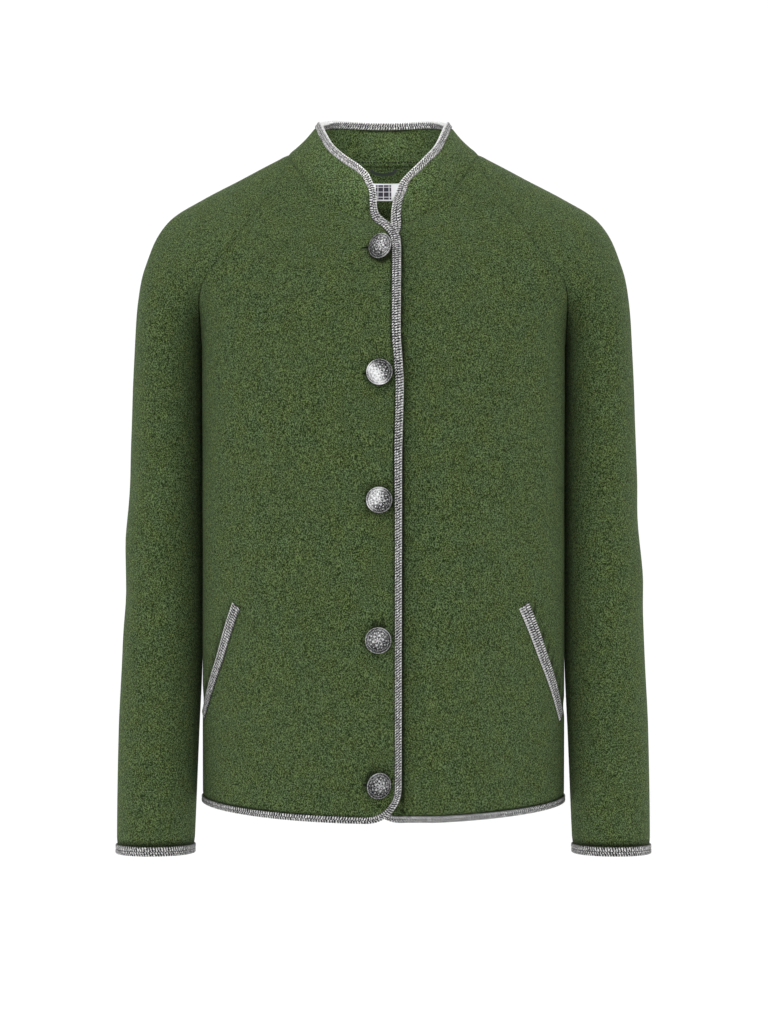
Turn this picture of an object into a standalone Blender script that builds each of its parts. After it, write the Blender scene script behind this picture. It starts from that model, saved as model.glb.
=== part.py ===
"""Boiled-wool jacket with a stand collar, raglan sleeves and braid-bound edges.

The cloth keeps its worn shape with nobody in it: open at the neck, hem and cuffs.
Frame, in metres: origin at the middle of the neck seam's level, between the shoulders,
where a wearer carries the garment. +X is the wearer's left, the front faces -Y, +Z is up.
Each cloth panel is a grid on the garment's outer surface, thickened inwards by CLOTH.
"""
import bmesh
import bpy
import numpy as np
from mathutils.kdtree import KDTree

for old in list(bpy.data.objects):
    bpy.data.objects.remove(old, do_unlink=True)

CLOTH = 0.0025          # felted wool
SEAM = 0.0002           # half of the space between two panels at a seam
SIDE_Y = 0.004          # side seams and sleeve crowns lie in this plane
UNDERARM_Z = -0.175
BODY_DROP = 0.4168      # underarm to the cloth's hem at the side seams
FRONT_DIP = 0.0044      # how much lower the hem hangs at the centre front
BACK_DIP = 0.0020
SLEEVE_DROP = 0.4629    # underarm to the cuff
CUFF_TILT = 0.073       # the cuff's front edge sits higher than its back edge
CORNER = 0.030          # radius of the fronts' lower corners
LAP = 0.0063            # how far the left front is set back under the right front
BRAID = 0.0008          # thickness of the knitted braid
AIR = 0.0005            # clearance between the braid and the cloth inside its fold

# level: 0 at the neck seam, 1 at the underarm; each row is one ring round body and arms
YOKE = {
    "level":   (0.000, 0.100, 0.200, 0.350, 0.500, 0.600, 0.700, 0.800, 0.900, 0.950, 1.000),
    "half":    (.0885, .1084, .1326, .1679, .1977, .2116, .2191, .2247, .2278, .2293, .2308),
    "side_z":  (.0075, -.0028, -.0158, -.0344, -.0531, -.0717, -.0903, -.1089, -.1300, -.1461, -.175),
    "front":   (.0735, .0815, .0890, .0985, .1060, .1100, .1135, .1160, .1175, .1178, .1180),
    "front_z": (-.0635, -.0740, -.0860, -.1020, -.1170, -.1280, -.1390, -.1500, -.1610, -.1680, -.175),
    "back":    (.0580, .0675, .0770, .0880, .0950, .0985, .1010, .1030, .1045, .1048, .1050),
    "back_z":  (.0055, -.0125, -.0340, -.0640, -.0900, -.1090, -.1260, -.1420, -.1570, -.1660, -.175),
    "bend":    (2.50, 2.35, 2.20, 2.05, 2.00, 2.00, 2.00, 2.00, 2.00, 2.00, 2.00),
    "seam_f":  (.0862, .0950, .1075, .1240, .1370, .1490, .1580, .1640, .1670, .1678, .1680),
    "seam_b":  (.0850, .0930, .1050, .1220, .1350, .1470, .1560, .1625, .1665, .1678, .1680),
}
SPLIT_FROM = 0.62       # level where arm and body begin to part
ARCH = 0.050            # half the width of the arch over the armpit where they begin to part

# drop below the underarm; square 2 is an ellipse, more is boxier
BODY = {
    "drop":   (0.000, 0.065, 0.145, 0.245, 0.345, 0.4168),
    "half":   (.1682, .1680, .1678, .1679, .1681, .1680),
    "front":  (.1180, .1178, .1160, .1165, .1195, .1215),
    "back":   (.1050, .1010, .0985, .1015, .1070, .1110),
    "square": (2.70, 2.60, 2.50, 2.40, 2.20, 2.00),
}
SLEEVE = {
    "drop":   (0.000, 0.030, 0.075, 0.145, 0.2316, 0.2875, 0.3525, 0.420, 0.4629),
    "inner":  (.1684, .1688, .1688, .1688, .1689, .1693, .1714, .1735, .1751),
    "outer":  (.2308, .2325, .2346, .2380, .2415, .2435, .2455, .2459, .2457),
    "mid_y":  (.004, .006, .011, .014, .012, .008, -.002, -.010, -.014),
    "deep":   (.0600, .0605, .0600, .0575, .0540, .0515, .0490, .0465, .0450),
    "square": (2.2, 2.2, 2.2, 2.2, 2.2, 2.1, 2.1, 2.1, 2.1),
}
# rise: 0 at the neck seam, 1 at the top edge; end is how far the cloth stops from the centre
COLLAR = {
    "rise":    (0.0, 0.5, 1.0),
    "half":    (.0885, .0733, .0598),
    "side_z":  (.0075, .0213, .0374),
    "front":   (.0735, .0688, .0642),
    "front_z": (-.0635, -.0460, -.0288),
    "back":    (.0580, .0525, .0472),
    "back_z":  (.0055, .0262, .0447),
    "bend":    (2.50, 4.50, 8.00),
}
# how the rim's front rises from its lowest point to the side, by share of the half width
RIM = {
    "across": (0.0, .21, .34, .60, .80, .94, 1.0),
    "right":  (-.10, .105, .225, .410, .605, .850, 1.0),
    "left":   (-.26, .000, .155, .370, .575, .850, 1.0),
}
COLLAR_END = {
    "rise":  (0.00, 0.08, 0.16, 0.28, 0.45, 0.62, 0.75, 0.85, 0.93, 1.00),
    "right": (-.0008, .0018, .0046, .0065, .0072, .0073, .0080, .0096, .0119, .0146),
    "left":  (.0083, .0082, .0081, .0081, .0083, .0089, .0099, .0114, .0134, .0156),
}
# how far each front reaches past the centre, by how far down its edge is
FRONT_EDGE = {
    "down":  (.0635, .0674, .0721, .0768, .0812, .0900, .1300, .1650, .1900, .2150, .2400, .2800, .6000),
    "right": (.0008, .0058, .0096, .0125, .0139, .0144, .0141, .0138, .0153, .0165, .0160, .0150, .0146),
    "left":  (-.0083, -.0077, -.0058, -.0020, .0028, .0096, .0142, .0150, .0150, .0150, .0150, .0150, .0150),
}
# soft folds: from, to, width, height (a negative height is a trough)
FOLDS = (
    # x0, y0, z0, x1, y1, z1, width, height
    (-.148, -.088, -.190, -.152, -.070, -.330, .016, .0014),
    (.148, -.088, -.185, .150, -.072, -.300, .015, .0012),
    (-.232, -.020, -.300, -.180, -.050, -.262, .020, -.0022),
    (-.236, -.015, -.350, -.185, -.048, -.318, .022, .0018),
    (-.236, -.010, -.405, -.182, -.045, -.378, .020, -.0020),
    (.236, -.010, -.330, .185, -.050, -.298, .022, -.0020),
    (.238, -.010, -.385, .186, -.046, -.356, .022, .0016),
    (-.205, .070, -.225, -.165, .070, -.180, .020, -.0022),
    (.205, .070, -.228, .165, .070, -.182, .020, -.0022),
    (-.060, .103, -.430, -.020, .105, -.300, .030, -.0022),
    (.072, .104, -.470, .040, .103, -.330, .030, -.0020),
    (-.028, -.124, -.500, -.075, -.112, -.380, .026, .0014),
    (.040, -.122, -.330, .095, -.105, -.230, .030, .0012),
)

YOKE_ROWS = (0.0015, .045, .09, .14, .20, .30, .41, .52, .63, .73, .81, .88, .94, .98, 1.0)
BODY_ROWS = (1.10, 1.26, 1.43, 1.60, 1.77, 1.90, 1.962, 1.987, 2.0)
SLEEVE_ROWS = (1.06, 1.15, 1.27, 1.40, 1.53, 1.66, 1.79, 1.91, 1.983, 2.0)
FRONT_COLS = (0, .035, .075, .125, .19, .27, .36, .45, .54, .63, .72, .80, .875, .94, .999)
BACK_COLS = tuple(np.round(np.linspace(-.999, .999, 23), 4))
SLEEVE_COLS = 22
COLLAR_COLS = (-1, -.975, -.935, -.885, -.825, -.76, -.695, -.63, -.565, -.49, -.41, -.32, -.22, -.11,
               0, .11, .22, .32, .41, .49, .56, .615, .665, .715, .765, .815, .865, .91, .945, .975, 1)
COLLAR_ROWS = (.005, .08, .16, .28, .45, .64, .82, 1.0)

# braid: visible width from its fold to its edge
WIDTH = {"hem": 0.0060, "left_end": 0.0090, "rim": 0.0067, "right_end": 0.0065, "cuff": 0.0085,
         "pocket_right": 0.0104, "pocket_left": 0.0124}
# the braid down the fronts narrows from the neck to the hem
FRONT_WIDTH = {
    "down": (.0600, .0750, .0900, .1500, .2000, .2700, .3500, .6400),
    "wide": (.0092, .0089, .0080, .0079, .0074, .0068, .0061, .0060),
}
RAISED = 0.0009         # clearance under what lies in the middle of a panel

# centre lines of the pockets' braid: height, and distance from the centre on either side
POCKET = {
    "z":     (-.4080, -.4330, -.4570, -.4735, -.4900, -.5110),
    "right": (.1308, .1396, .1466, .1527, .1579, .1640),
    "left":  (.1248, .1352, .1436, .1502, .1556, .1608),
}
BUTTON_R = 0.01145
SHANK_R = 0.0022
BUTTON = (
    # radius, height over the back of the plate
    (.0098, .0000), (BUTTON_R, .0009), (BUTTON_R, .0017), (.0108, .0023), (.0099, .0019),
    (.0075, .0028), (.0042, .0034),
)
BUTTONS = (
    # x, z, turned towards +X, turned up (degrees), shank length
    (.0012, -.0922, -32, 11, .0066),
    (-.0031, -.2029, -5, 6, .0038),
    (-.0042, -.3146, 5, 6, .0038),
    (-.0042, -.4371, -4, 2, .0038),
    (-.0072, -.5625, 26, -5, .0062),
)
# hanging loop inside the back of the neck
LOOP = {"x": (-.0118, -.0112, -.0075, 0, .0075, .0112, .0118),
        "z": (.0030, .0005, -.0024, -.0034, -.0024, .0005, .0030)}
LOOP_WIDTH = 0.0033
LOOP_THICK = 0.0012
LABEL_ROWS = (.078, .116, .154)
LABEL_HALF = 0.019
LABEL_THICK = 0.0006

MATERIALS = {
    "wool": ((0.072, 0.105, 0.042), 0.95, 0.0),
    "braid": ((0.23, 0.235, 0.23), 0.9, 0.0),
    "pewter": ((0.30, 0.30, 0.31), 0.38, 1.0),
    "tape": ((0.018, 0.028, 0.022), 0.9, 0.0),
    "label": ((0.75, 0.75, 0.73), 0.8, 0.0),
}


# ---------------------------------------------------------------- numbers and meshes
def smooth(x, table, key, column):
    """Monotone cubic through a table's rows."""
    xs = np.asarray(table[key], float)
    ys = np.asarray(table[column], float)
    step = np.diff(xs)
    slope = np.diff(ys) / step
    tangent = np.concatenate([slope[:1], np.zeros(len(step) - 1), slope[-1:]])
    same = slope[:-1] * slope[1:] > 0
    both = 2 * slope[:-1] * slope[1:] / np.where(same, slope[:-1] + slope[1:], 1)
    tangent[1:-1] = np.where(same, both, 0)
    i = np.clip(np.searchsorted(xs, x, side="right") - 1, 0, len(step) - 1)
    s = (x - xs[i]) / step[i]
    return (ys[i] * (1 + 2 * s) * (1 - s) ** 2 + ys[i + 1] * s * s * (3 - 2 * s)
            + step[i] * (tangent[i] * s * (1 - s) ** 2 - tangent[i + 1] * s * s * (1 - s)))


def ease(x):
    x = np.clip(x, 0, 1)
    return x * x * (3 - 2 * x)


def unit(v):
    return v / np.linalg.norm(v, axis=-1, keepdims=True)


def rounding(angle, square):
    """Factor that swells an ellipse's point at this angle towards a box."""
    return (np.abs(np.sin(angle)) ** square + np.abs(np.cos(angle)) ** square) ** (-1 / square)


def fold(p):
    """Height of the soft folds at points p, each a round-ended ridge or trough."""
    height = np.zeros(p.shape[:-1])
    for row in FOLDS:
        a, b = np.array(row[0:3]), np.array(row[3:6])
        s = np.clip(((p - a) @ (b - a)) / ((b - a) @ (b - a)), 0, 1)
        away = p - (a + s[..., None] * (b - a))
        height += row[7] * np.exp(-(away ** 2).sum(-1) / row[6] ** 2)
    return height


def skinned(base, u, v, flip=1, sink=None):
    """Points and outward normals of a surface base(u, v), with the folds added."""
    u, v = np.broadcast_arrays(np.asarray(u, float), np.asarray(v, float))

    def normal(surface, e=2e-4):
        return flip * unit(np.cross(surface(u + e, v) - surface(u - e, v),
                                    surface(u, v + e) - surface(u, v - e)))

    out = normal(base)

    def final(a, b):
        p = base(a, b)
        p = p + out * fold(p)[..., None]
        if sink is None:
            return p
        rise = .5 * ease((p[..., 2] + .20) / .12)
        set_back = np.stack([0 * rise, 1 + 0 * rise, -rise], -1)
        return p + unit(set_back) * sink(p)[..., None]

    return final(u, v), normal(final, 1e-3)


def make(name, verts, faces, material, smooth_faces=True):
    mesh = bpy.data.meshes.new(name)
    mesh.from_pydata([tuple(map(float, v)) for v in verts], [], faces)
    bm = bmesh.new()
    bm.from_mesh(mesh)
    bmesh.ops.recalc_face_normals(bm, faces=bm.faces)
    bm.to_mesh(mesh)
    bm.free()
    ob = bpy.data.objects.new(name, mesh)
    bpy.context.scene.collection.objects.link(ob)
    mesh.materials.append(MATERIAL[material])
    for poly in mesh.polygons:
        poly.use_smooth = smooth_faces
    return ob


def slab(name, outer, inner, material, closed_from=None):
    """Closed solid between two grids; from row closed_from down, first and last column are one."""
    rows, cols = outer.shape[:2]
    index = np.arange(rows * cols).reshape(rows, cols)
    if closed_from is None:
        closed_from = rows
    index[closed_from:, -1] = index[closed_from:, 0]
    under = index + rows * cols
    short = (np.linalg.norm(outer[1:, 1:] - outer[:-1, :-1], axis=-1)
             < np.linalg.norm(outer[:-1, 1:] - outer[1:, :-1], axis=-1))
    faces = []
    for i in range(rows - 1):
        for j in range(cols - 1):
            a, b, c, d = index[i, j], index[i, j + 1], index[i + 1, j + 1], index[i + 1, j]
            for tri in ((a, b, c), (a, c, d)) if short[i, j] else ((a, b, d), (b, c, d)):
                faces.append(tri)
                faces.append(tuple(k + rows * cols for k in reversed(tri)))
    for i in (0, rows - 1):
        for j in range(cols - 1):
            faces.append((index[i, j], under[i, j], under[i, j + 1], index[i, j + 1]))
    for j in (0, cols - 1):
        for i in range(min(closed_from, rows - 1)):
            faces.append((index[i, j], index[i + 1, j], under[i + 1, j], under[i, j]))
    verts = np.concatenate([outer.reshape(-1, 3), inner.reshape(-1, 3)])
    used = sorted({k for f in faces for k in f})
    place = {k: n for n, k in enumerate(used)}
    return make(name, verts[used], [tuple(place[k] for k in f) for f in faces], material)


def tube(name, rings, material, loop=True):
    """Closed solid through a row of closed sections; capped at both ends unless it loops."""
    count, size = rings.shape[:2]
    faces = []
    for k in range(count if loop else count - 1):
        for s in range(size):
            a, b = rings[k], rings[(k + 1) % count]
            q = (s + 1) % size
            i, j = k * size, (k + 1) % count * size
            if np.linalg.norm(a[s] - b[q]) < np.linalg.norm(a[q] - b[s]):
                faces += [(i + s, i + q, j + q), (i + s, j + q, j + s)]
            else:
                faces += [(i + s, i + q, j + s), (i + q, j + q, j + s)]
    if not loop:
        faces.append(tuple(range(size)))
        faces.append(tuple((count - 1) * size + s for s in range(size)))
    return make(name, rings.reshape(-1, 3), faces, material)


MATERIAL = {}
for key, (colour, rough, metal) in MATERIALS.items():
    mat = bpy.data.materials.new(key)
    mat.use_nodes = True
    bsdf = mat.node_tree.nodes["Principled BSDF"]
    bsdf.inputs["Base Color"].default_value = (*colour, 1)
    bsdf.inputs["Roughness"].default_value = rough
    bsdf.inputs["Metallic"].default_value = metal
    MATERIAL[key] = mat


# ---------------------------------------------------------------- the garment's surface
def parted(level):
    """How far arm and body have parted (0 to 1) and half the width of the arch over the armpit."""
    x = np.clip((level - SPLIT_FROM) / (1 - SPLIT_FROM), 0, 1)
    return ease(x), ARCH * np.sqrt(1 - x * x)


def torso(level, across, face):
    """Front or back of the body: across runs -1..1 between the raglan or side seams."""
    level, across = np.broadcast_arrays(np.asarray(level, float), np.asarray(across, float))
    top = np.minimum(level, 1.0)
    drop = np.maximum(level - 1, 0) * BODY_DROP
    side = -1 if face == "front" else 1
    depth = np.where(level < 1, smooth(top, YOKE, "level", face), smooth(drop, BODY, "drop", face))
    reach = depth - side * SIDE_Y
    half = smooth(top, YOKE, "level", "half")
    turn = across * np.arcsin(smooth(top, YOKE, "level", "seam_" + face[0]) / half)
    share, arch = parted(level)
    square = smooth(drop, BODY, "drop", "square")
    end_y = arch / reach
    end_x = (1 - end_y ** square) ** (1 / square)
    angle = across * np.arctan2(end_x, end_y)
    swell = rounding(angle, square)
    width = (smooth(drop, BODY, "drop", "half") - SEAM) / end_x
    x = half * np.sin(turn) * (1 - share) + width * swell * np.sin(angle) * share
    y = SIDE_Y + side * reach * (np.cos(turn) * (1 - share) + swell * np.cos(angle) * share)
    side_z = smooth(top, YOKE, "level", "side_z")
    mid_z = smooth(top, YOKE, "level", face + "_z")
    bend = smooth(top, YOKE, "level", "bend")
    z = side_z + (mid_z - side_z) * (1 - np.abs(np.sin(turn)) ** bend)
    dip = FRONT_DIP if face == "front" else BACK_DIP
    z = z - drop - dip * (drop / BODY_DROP) ** 2 * np.cos(angle) ** 2
    return np.stack([x, y, z], -1)


def sleeve(level, around, side):
    """Sleeve: around runs 0..1 from the front raglan seam over the arm to the back one."""
    level, around = np.broadcast_arrays(np.asarray(level, float), np.asarray(around, float))
    top = np.minimum(level, 1.0)
    drop = np.maximum(level - 1, 0) * SLEEVE_DROP
    half = smooth(top, YOKE, "level", "half")
    front = around < 0.5
    start = np.arcsin(np.where(front, smooth(top, YOKE, "level", "seam_f"),
                               smooth(top, YOKE, "level", "seam_b")) / half)
    lift = 1 - np.abs(1 - 2 * around)
    turn = start + (np.pi / 2 - start) * lift
    reach = np.where(front, -(smooth(top, YOKE, "level", "front") + SIDE_Y),
                     smooth(top, YOKE, "level", "back") - SIDE_Y)
    mid_z = np.where(front, smooth(top, YOKE, "level", "front_z"), smooth(top, YOKE, "level", "back_z"))
    side_z = smooth(top, YOKE, "level", "side_z")
    z = side_z + (mid_z - side_z) * (1 - np.abs(np.sin(turn)) ** smooth(top, YOKE, "level", "bend"))
    share, arch = parted(level)
    square = smooth(drop, SLEEVE, "drop", "square")
    deep = smooth(drop, SLEEVE, "drop", "deep")
    outer = np.where(level < 1, half, smooth(drop, SLEEVE, "drop", "outer"))
    mid_y = smooth(drop, SLEEVE, "drop", "mid_y")
    end_y = arch / deep
    end_x = (1 - end_y ** square) ** (1 / square)
    first = np.arctan2(end_y, end_x)
    angle = first + (2 * np.pi - 2 * first) * around
    inner = (2 * smooth(drop, SLEEVE, "drop", "inner") - outer * (1 - end_x)) / (1 + end_x)
    swell = rounding(angle, square)
    tube_x = (inner + outer) / 2 - (outer - inner) / 2 * swell * np.cos(angle)
    tube_y = mid_y - deep * swell * np.sin(angle)
    x = half * np.sin(turn) * (1 - share) + tube_x * share
    y = (SIDE_Y + reach * np.cos(turn)) * (1 - share) + tube_y * share
    z = z - drop - CUFF_TILT * np.maximum(level - 1, 0) * (y - mid_y)
    return np.stack([side * x, y, z], -1)


def collar(rise, round_):
    """Stand collar: round_ runs -1..1 from the right front end round the back to the left."""
    rise, round_ = np.broadcast_arrays(np.asarray(rise, float), np.asarray(round_, float))
    half = smooth(rise, COLLAR, "rise", "half")
    low = np.clip(rise, 0, 1)
    end = np.where(round_ < 0, smooth(low, COLLAR_END, "rise", "right"), smooth(low, COLLAR_END, "rise", "left"))
    turn = round_ * (np.pi - np.arcsin(end / half))
    back = np.cos(turn) > 0
    reach = np.where(back, smooth(rise, COLLAR, "rise", "back") - SIDE_Y,
                     smooth(rise, COLLAR, "rise", "front") + SIDE_Y)
    mid_z = np.where(back, smooth(rise, COLLAR, "rise", "back_z"), smooth(rise, COLLAR, "rise", "front_z"))
    side_z = smooth(rise, COLLAR, "rise", "side_z")
    out = np.abs(np.sin(turn))
    rim = np.where(round_ < 0, smooth(out, RIM, "across", "right"), smooth(out, RIM, "across", "left"))
    share = np.where(back, out ** smooth(rise, COLLAR, "rise", "bend"), out ** 2.5 + (rim - out ** 2.5) * low)
    z = mid_z + (side_z - mid_z) * share
    return np.stack([half * np.sin(turn), SIDE_Y + reach * np.cos(turn), z], -1)


def front_across(level, u, side):
    """Torso coordinate of a front panel's column: u 0 on its free edge, 1 at the outer seam."""
    fall = np.maximum(level - 1, 0)
    short = 1 - 1 / np.sqrt(2)
    height = BODY_DROP * (1 - fall * (1 - short * CORNER / BODY_DROP))
    curve = np.clip(CORNER - height, 0, CORNER)
    centre = torso(level, np.zeros_like(level + 0.0), "front")
    edge = smooth(-centre[..., 2], FRONT_EDGE, "down", "right" if side < 0 else "left")
    edge = edge - (CORNER - np.sqrt(CORNER ** 2 - curve ** 2))
    pace = (torso(level, np.full_like(level + 0.0, .01), "front")[..., 0] - centre[..., 0]) / .01
    first = -side * edge / pace
    return first + (side - first) * u


def front(level, u, side):
    """Wearer's right (side -1) or left (side 1) front, with its rounded lower corner."""
    level, u = np.broadcast_arrays(np.asarray(level, float), np.asarray(u, float))
    across = front_across(level, u, side)
    last = front_across(np.full_like(level, 2.0), u, side)
    x_end = torso(np.full_like(level, 2.0), last, "front")[..., 0]
    inside = np.clip(CORNER - (0.0150 + side * x_end), 0, CORNER)
    lift = CORNER - np.sqrt(CORNER ** 2 - inside ** 2)
    fall = np.maximum(level - 1, 0) * (1 - lift / BODY_DROP)
    return torso(np.where(level > 1, 1 + fall, level), across, "front")


def lap(p):
    """Set-back of the left front and of the collar's left end under the right front."""
    return LAP * (1 - ease((p[..., 0] - .020) / .030)) * (p[..., 1] < 0)


# ---------------------------------------------------------------- cloth panels
def walls(base, u, v, flip, sink=None):
    """Outer points, normals and inner points of a panel's grid."""
    p, n = skinned(base, u, v, flip, sink)
    return p, n, p - n * CLOTH


def collar_sink(p):
    return lap(p) * ease((.020 - p[..., 2]) / .040)


def pair(rows, cols):
    return np.array(rows)[:, None], np.array(cols)[None, :]


def sleeve_grid(rows, count):
    """Level and around for a sleeve, a seam's width short of the raglan seams above the underarm."""
    rows = np.array(rows)[:, None]
    gap = np.where(rows < 1, .00022 / (.03 + .27 * rows), 0)
    return rows, gap + (1 - 2 * gap) * np.linspace(0, 1, count + 1)[None, :]


SURFACES = {
    "back": (lambda a, b: torso(a, b, "back"), -1, None),
    "front_right": (lambda a, b: front(a, b, -1), -1, None),
    "front_left": (lambda a, b: front(a, b, 1), 1, lap),
    "sleeve_right": (lambda a, b: sleeve(a, b, -1), -1, None),
    "sleeve_left": (lambda a, b: sleeve(a, b, 1), 1, None),
    "collar_right": (collar, 1, None),
    "collar_left": (collar, 1, collar_sink),
}


def surface(name, u, v):
    base, flip, sink = SURFACES[name]
    return walls(base, u, v, flip, sink)


body_rows = YOKE_ROWS + BODY_ROWS
panel = {
    "back": surface("back", *pair(body_rows, BACK_COLS)),
    "front_right": surface("front_right", *pair(body_rows, FRONT_COLS)),
    "front_left": surface("front_left", *pair(body_rows, FRONT_COLS)),
    "sleeve_right": surface("sleeve_right", *sleeve_grid(YOKE_ROWS + SLEEVE_ROWS, SLEEVE_COLS)),
    "sleeve_left": surface("sleeve_left", *sleeve_grid(YOKE_ROWS + SLEEVE_ROWS, SLEEVE_COLS)),
}
middle = COLLAR_COLS.index(0)
halves = [surface("collar_right", *pair(COLLAR_ROWS, COLLAR_COLS[:middle])),
          surface("collar_left", *pair(COLLAR_ROWS, COLLAR_COLS[middle:]))]
panel["collar"] = tuple(np.concatenate(both, axis=1) for both in zip(*halves))

for name, (outer, _, inner) in panel.items():
    closed = len(YOKE_ROWS) - 1 if name.startswith("sleeve") else None
    slab(name, outer, inner, "wool", closed)


# ---------------------------------------------------------------- braid
def cloud(*parts):
    """Closely spaced points and normals of the named surfaces, for laying pieces on them."""
    points, normals = [], []
    for name, u, v in parts:
        p, n, _ = surface(name, u, v)
        points.append(p.reshape(-1, 3))
        normals.append(n.reshape(-1, 3))
    points, normals = np.concatenate(points), np.concatenate(normals)
    tree = KDTree(len(points))
    for i, p in enumerate(points):
        tree.insert(p, i)
    tree.balance()
    return tree, points, normals


def settle(where, on):
    """The points of the surface nearest to `where`, with their normals."""
    tree, points, normals = on
    near = [tree.find(q)[1] for q in where]
    n = normals[near]
    return where - n * ((where - points[near]) * n).sum(-1, keepdims=True), n


def along(p, loop):
    """Directions along a path, halving the turn at each point."""
    ahead = unit(np.roll(p, -1, axis=0) - p)
    behind = np.roll(ahead, 1, axis=0)
    if not loop:
        ahead[-1] = ahead[-2]
        behind[0] = ahead[0]
    return unit(ahead + behind)


def bound(p, n, lead, corners, width, on, loop=True):
    """Rings of a braid folded over the cloth's edge p.

    Its legs follow the cloth's grid lines, and near the corners the edge's own normal.
    """
    t = along(p, loop)
    n = unit(n - t * (n * t).sum(-1, keepdims=True))
    d = np.cross(t, n)
    for c in corners:
        near = np.exp(-((p - c) ** 2).sum(-1) / .014 ** 2)[:, None]
        lead = unit(lead * (1 - near) + d * near)
    leg = lead * ((width - AIR - BRAID) / (lead * d).sum(-1))[:, None]
    half, full = CLOTH + AIR, CLOTH + AIR + BRAID
    (mid, mid_n), (tip, tip_n) = settle(p + leg / 2, on), settle(p + leg, on)
    ring = (
        tip + tip_n * AIR, tip + tip_n * (AIR + BRAID), mid + mid_n * (AIR + BRAID),
        p - d * .0006 + n * (AIR + BRAID - .0001), p - d * (AIR + BRAID) + n * .0001,
        p - d * (AIR + BRAID) - n * (CLOTH + .0001), p - d * .0006 - n * (full - .0001),
        mid - mid_n * full, tip - tip_n * full, tip - tip_n * half, mid - mid_n * half,
        p - d * AIR - n * half, p - d * AIR + n * AIR, mid + mid_n * AIR,
    )
    return np.stack(ring, axis=1)


def laid(p, width, low, high, on):
    """Rings of a flat strip lying between two heights over the surface along path p."""
    p, n = settle(p, on)
    t = along(p, loop=False)
    side = np.cross(n, t) * width / 2
    (a, a_n), (b, b_n) = settle(p - side, on), settle(p + side, on)
    return np.stack([a + a_n * low, p + n * low, b + b_n * low,
                     b + b_n * high, p + n * high, a + a_n * high], axis=1)


FINE = np.linspace(0, 1, 61)
TALL = np.concatenate([np.linspace(0, 1, 60), np.linspace(1, 2, 110)[1:]])
ROUND = np.linspace(0, 1, 121)
on_right = cloud(("front_right", *pair(TALL, FINE)), ("collar_right", *pair(FINE[::2], -ROUND)))
on_left = cloud(("front_left", *pair(TALL, FINE)), ("collar_left", *pair(FINE[::2], ROUND)))
on_back = cloud(("back", *pair(TALL[-40:], 2 * FINE - 1)))
on_neck = cloud(("back", *pair(TALL[:30], 2 * FINE - 1)))


def leads(name, grid):
    """Directions inwards from a grid's free edges along its lines; a free corner takes both."""
    out = np.zeros_like(grid)
    if name != "back":
        out[:, 0] = unit(grid[:, 1] - grid[:, 0])
    if name == "collar":
        out[:, -1] = unit(grid[:, -2] - grid[:, -1])
    out[-1] += unit(grid[-2] - grid[-1])
    return out


# one braid runs round the hem, both fronts and the collar
path = (
    ("back", np.s_[-1, 1:-1], "hem", on_back),
    ("front_left", np.s_[-1, :0:-1], "hem", on_left),
    ("front_left", np.s_[::-1, 0], "front", on_left),
    ("collar", np.s_[1:, -1], "left_end", on_left),
    ("collar", np.s_[-1, -2:middle - 1:-1], "rim", on_left),
    ("collar", np.s_[-1, middle - 1:0:-1], "rim", on_right),
    ("collar", np.s_[:0:-1, 0], "right_end", on_right),
    ("front_right", np.s_[:, 0], "front", on_right),
    ("front_right", np.s_[-1, 1:], "hem", on_right),
)
lead = {name: leads(name, panel[name][0]) for name in ("back", "front_left", "front_right", "collar")}
edge = np.concatenate([panel[name][0][part] for name, part, _, _ in path])
face = np.concatenate([panel[name][1][part] for name, part, _, _ in path])
inward = unit(np.concatenate([lead[name][part] for name, part, _, _ in path]))
corners = (panel["front_left"][0][-1, 0], panel["front_right"][0][-1, 0],
           panel["collar"][0][-1, 0], panel["collar"][0][-1, -1])
wide = np.concatenate([smooth(-panel[name][0][part][:, 2], FRONT_WIDTH, "down", "wide") if w == "front"
                       else np.full(len(panel[name][0][part]), WIDTH[w]) for name, part, w, _ in path])
wide = (np.roll(wide, 1) + 2 * wide + np.roll(wide, -1)) / 4
place = np.concatenate([np.full(len(panel[name][0][part]), k) for k, (name, part, _, _) in enumerate(path)])
rings = np.zeros((len(edge), 14, 3))
for k, (_, _, _, on) in enumerate(path):
    rings[place == k] = bound(edge, face, inward, corners, wide, on)[place == k]
tube("edge_binding", rings, "braid")

for side in ("right", "left"):
    cuff = panel["sleeve_" + side]
    p, n = cuff[0][-1, :-1], cuff[1][-1, :-1]
    lead = unit(cuff[0][-2, :-1] - p)
    if side == "left":
        p, n, lead = p[::-1], n[::-1], lead[::-1]
    on = cloud(("sleeve_" + side, *pair(np.linspace(1.96, 2, 12), np.linspace(0, 1, 121))))
    tube("cuff_binding_" + side, bound(p, n, lead, (), np.full(len(p), WIDTH["cuff"]), on), "braid")

for name, side, on in (("right", -1, on_right), ("left", 1, on_left)):
    tree, points, normals = on
    spots = []
    for x, z in zip(POCKET[name], POCKET["z"]):
        k = np.argmin((points[:, 0] - side * x) ** 2 + (points[:, 2] - z) ** 2)
        spots.append((side * x, points[k, 1], z))
    strip = laid(np.array(spots), WIDTH["pocket_" + name], RAISED, RAISED + BRAID, on)
    tube("pocket_binding_" + name, strip, "braid", loop=False)

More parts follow.
